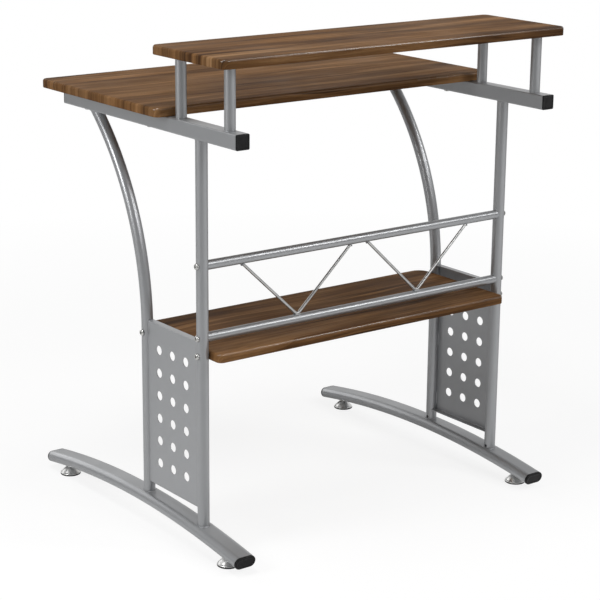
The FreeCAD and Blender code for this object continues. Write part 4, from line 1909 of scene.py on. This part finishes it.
@dataclass
class Studio:
    """A white floor, soft lamps, a white surround and the camera at the photograph's angle."""

    floor_half: float = 30.0
    floor_drop: float = 0.0004
    pool_radius: float = 0.9
    pool_fade: float = 2.2
    paint: Colour = (0.80, 0.80, 0.80, 1.0)
    pool_paint: Colour = (0.20, 0.20, 0.20, 1.0)
    pool_glow: float = 0.83
    # Headings and spans of the painted light and shade that the floor shows in reflections.
    lit_side: Direction = (0.60, 0.80, 0.0)
    bright_side: Direction = (-0.80, 0.60, 0.0)
    lit_span: Span = (-0.5, 0.4, 0.12, 0.72)
    glare_span: Span = (0.6, 0.98, 1.0, 0.35)
    bright_span: Span = (0.2, 0.75, 1.0, 1.8)
    ambient: float = 0.19
    backdrop: Direction = (-0.60, -0.80, 0.0)
    sweep_span: Span = (-0.3, 0.9, 0.35, 1.0)
    overhead_span: Span = (0.30, 0.70, 1.0, 0.35)
    horizon_span: Span = (0.0, 0.18, 0.2, 1.0)
    camera_place: Direction = (1.90957, 2.55237, 1.23990)
    camera_azimuth: float = math.radians(142.988)
    camera_pitch: float = math.radians(15.783)
    camera_roll: float = math.radians(0.506)
    focal_length_px: float = 1848.4
    picture_px: float = 600.0
    sensor: float = 36.0
    lamps: tuple[SoftBox, ...] = (
        SoftBox("left_box", (0.85, 0.15, 2.5), 0.65, 0.65, 15.5),
        SoftBox("right_box", (-0.95, 0.75, 2.45), 0.7, 0.4, 4.5),
        SoftBox("camera_box", (-0.30, 2.6, 2.15), 1.0, 0.9, 22.0),
        SoftBox("key_box", (-1.9, 2.1, 2.3), 0.8, 0.8, 22.0),
        SoftBox("front_box", (0.5, -2.8, 1.5), 2.4, 1.7, 15.0),
        SoftBox("fill_box", (2.0, -0.10, 1.2), 0.7, 0.63, 13.0),
    )

    def floor_surface(self, sketch: NodeSketch) -> Socket:
        """The floor's shader: white to the eye, and in the metal's reflections paler or darker by direction,
        a painted pool of light and shade.

        Args:
            sketch: The floor material's nodes.

        Returns:
            The shader.
        """
        paint = sketch.out("ShaderNodeBsdfDiffuse", {"Color": self.paint})
        shade = sketch.out("ShaderNodeBsdfDiffuse", {"Color": self.pool_paint})
        glow = sketch.out("ShaderNodeEmission", {"Color": WHITE, "Strength": self.pool_glow})
        white = sketch.out("ShaderNodeEmission", {"Color": WHITE, "Strength": 1.0})
        near = sketch.out("ShaderNodeAddShader", {0: shade, 1: glow})
        position = sketch.add("ShaderNodeTexCoord").outputs["Object"]
        fade = sketch.remap(sketch.measure("LENGTH", position), self.pool_radius, self.pool_fade)
        seen = sketch.out("ShaderNodeMixShader", {0: fade, 1: near, 2: white})
        # Painted light: in reflections the floor is painted brighter towards the lit and bright sides and
        # darker elsewhere, a pool of light and shade by heading.
        heading = sketch.vector_math("NORMALIZE", position)
        turned = sketch.measure("DOT_PRODUCT", heading, self.lit_side)
        aside = sketch.measure("DOT_PRODUCT", heading, self.bright_side)
        painted_light = sketch.remap(turned, *self.lit_span)
        painted_light = sketch.math("MULTIPLY", painted_light, sketch.remap(turned, *self.glare_span))
        painted_light = sketch.math("MULTIPLY", painted_light, sketch.remap(aside, *self.bright_span))
        path = sketch.add("ShaderNodeLightPath").outputs
        direct = sketch.math("MAXIMUM", path["Is Camera Ray"], path["Is Transmission Ray"])
        factor = sketch.math("MULTIPLY_ADD", path["Is Glossy Ray"], painted_light, direct)
        return sketch.out("ShaderNodeMixShader", {0: factor, 1: paint, 2: seen})

    def build_floor(self) -> None:
        """A pale floor that looks white and keeps the desk's soft shadow near its feet."""
        material = bpy.data.materials.new("studio_floor")
        material.use_nodes = True
        sketch = NodeSketch(material.node_tree)
        sketch.tree.nodes.clear()
        sketch.add("ShaderNodeOutputMaterial", {"Surface": self.floor_surface(sketch)})
        half = self.floor_half
        turns = ((-half, -half), (half, -half), (half, half), (-half, half))
        corners = [(x, y, -self.floor_drop) for x, y in turns]
        mesh = bpy.data.meshes.new("studio_floor")
        mesh.from_pydata(corners, [], [(0, 1, 2, 3)])
        mesh.materials.append(material)
        linked("studio_floor", mesh)

    def build_surround(self) -> None:
        """A white surround for the camera, a fading backdrop for reflections, and soft light."""
        world = bpy.data.worlds.new("studio_surround")
        world.use_nodes = True
        bpy.context.scene.world = world
        sketch = NodeSketch(world.node_tree)
        sketch.tree.nodes.clear()
        ray = sketch.add("ShaderNodeTexCoord").outputs["Generated"]
        ahead = sketch.measure("DOT_PRODUCT", ray, self.backdrop)
        height = sketch.add("ShaderNodeSeparateXYZ", {0: ray}).outputs["Z"]
        sweep = sketch.remap(ahead, *self.sweep_span)
        overhead = sketch.math("MULTIPLY", sweep, sketch.remap(height, *self.overhead_span))
        mirrored = sketch.math("MULTIPLY", overhead, sketch.remap(height, *self.horizon_span))
        path = sketch.add("ShaderNodeLightPath").outputs
        direct = sketch.math("MAXIMUM", path["Is Camera Ray"], path["Is Transmission Ray"])
        level = sketch.out("ShaderNodeMix", {0: path["Is Glossy Ray"], 2: self.ambient, 3: mirrored})
        strength = sketch.out("ShaderNodeMix", {0: direct, 2: level, 3: 1.0})
        white = sketch.out("ShaderNodeBackground", {"Color": WHITE, "Strength": strength})
        sketch.add("ShaderNodeOutputWorld", {"Surface": white})

    def build_camera(self) -> None:
        """The camera, at the photograph's angle and framing."""
        data = bpy.data.cameras.new("photo_camera")
        data.sensor_width = self.sensor
        data.lens = self.focal_length_px / self.picture_px * self.sensor
        data.clip_end = 100.0
        turn = Matrix.Rotation(self.camera_azimuth, 4, "Z")
        tilt = Matrix.Rotation(math.pi / 2 - self.camera_pitch, 4, "X")
        roll = Matrix.Rotation(self.camera_roll, 4, "Z")
        camera = linked("photo_camera", data)
        camera.matrix_world = Matrix.Translation(self.camera_place) @ turn @ tilt @ roll
        bpy.context.scene.camera = camera

    def build(self) -> None:
        """Build the whole studio."""
        bpy.context.scene.view_settings.view_transform = "Standard"
        self.build_floor()
        self.build_surround()
        for lamp in self.lamps:
            lamp.build()
        self.build_camera()


def dress_inner_hardware(finishes: Finishes) -> None:
    """Give the inserts, plugs and bushes their plating."""
    inserts = ("desktop_inserts", "monitor_shelf_inserts", "lower_shelf_inserts")
    dress_nodes((*inserts, "stretcher_plugs", "leveller_bushes"), finishes.zinc)


def main() -> None:
    """Build every sub-assembly in order, then the studio."""
    logging.basicConfig(level=logging.INFO, format="%(name)s: %(message)s")
    shop = Workshop()
    boards = (
        ("desktop", (0.012, 0.012), (0.31, 0.17, 0)),
        ("monitor_shelf", (0.012, 0.012), (2.47, 1.36, 0)),
        ("lower_shelf", (0.024, 0.010), (4.92, 2.58, 0)),
    )
    for node, corner_radii, film_start in boards:
        Board(shop, node, corner_radii, Vector(film_start)).build()
    for kind in (SideFrames, Truss, EndCaps, Bolts):
        kind(shop).build()
    for end in ENDS:
        for side in SIDES:
            Leveller(shop, end + "_" + side).build()
    dress_inner_hardware(shop.finishes)
    Studio().build()


if __name__ == "__main__":
    main()
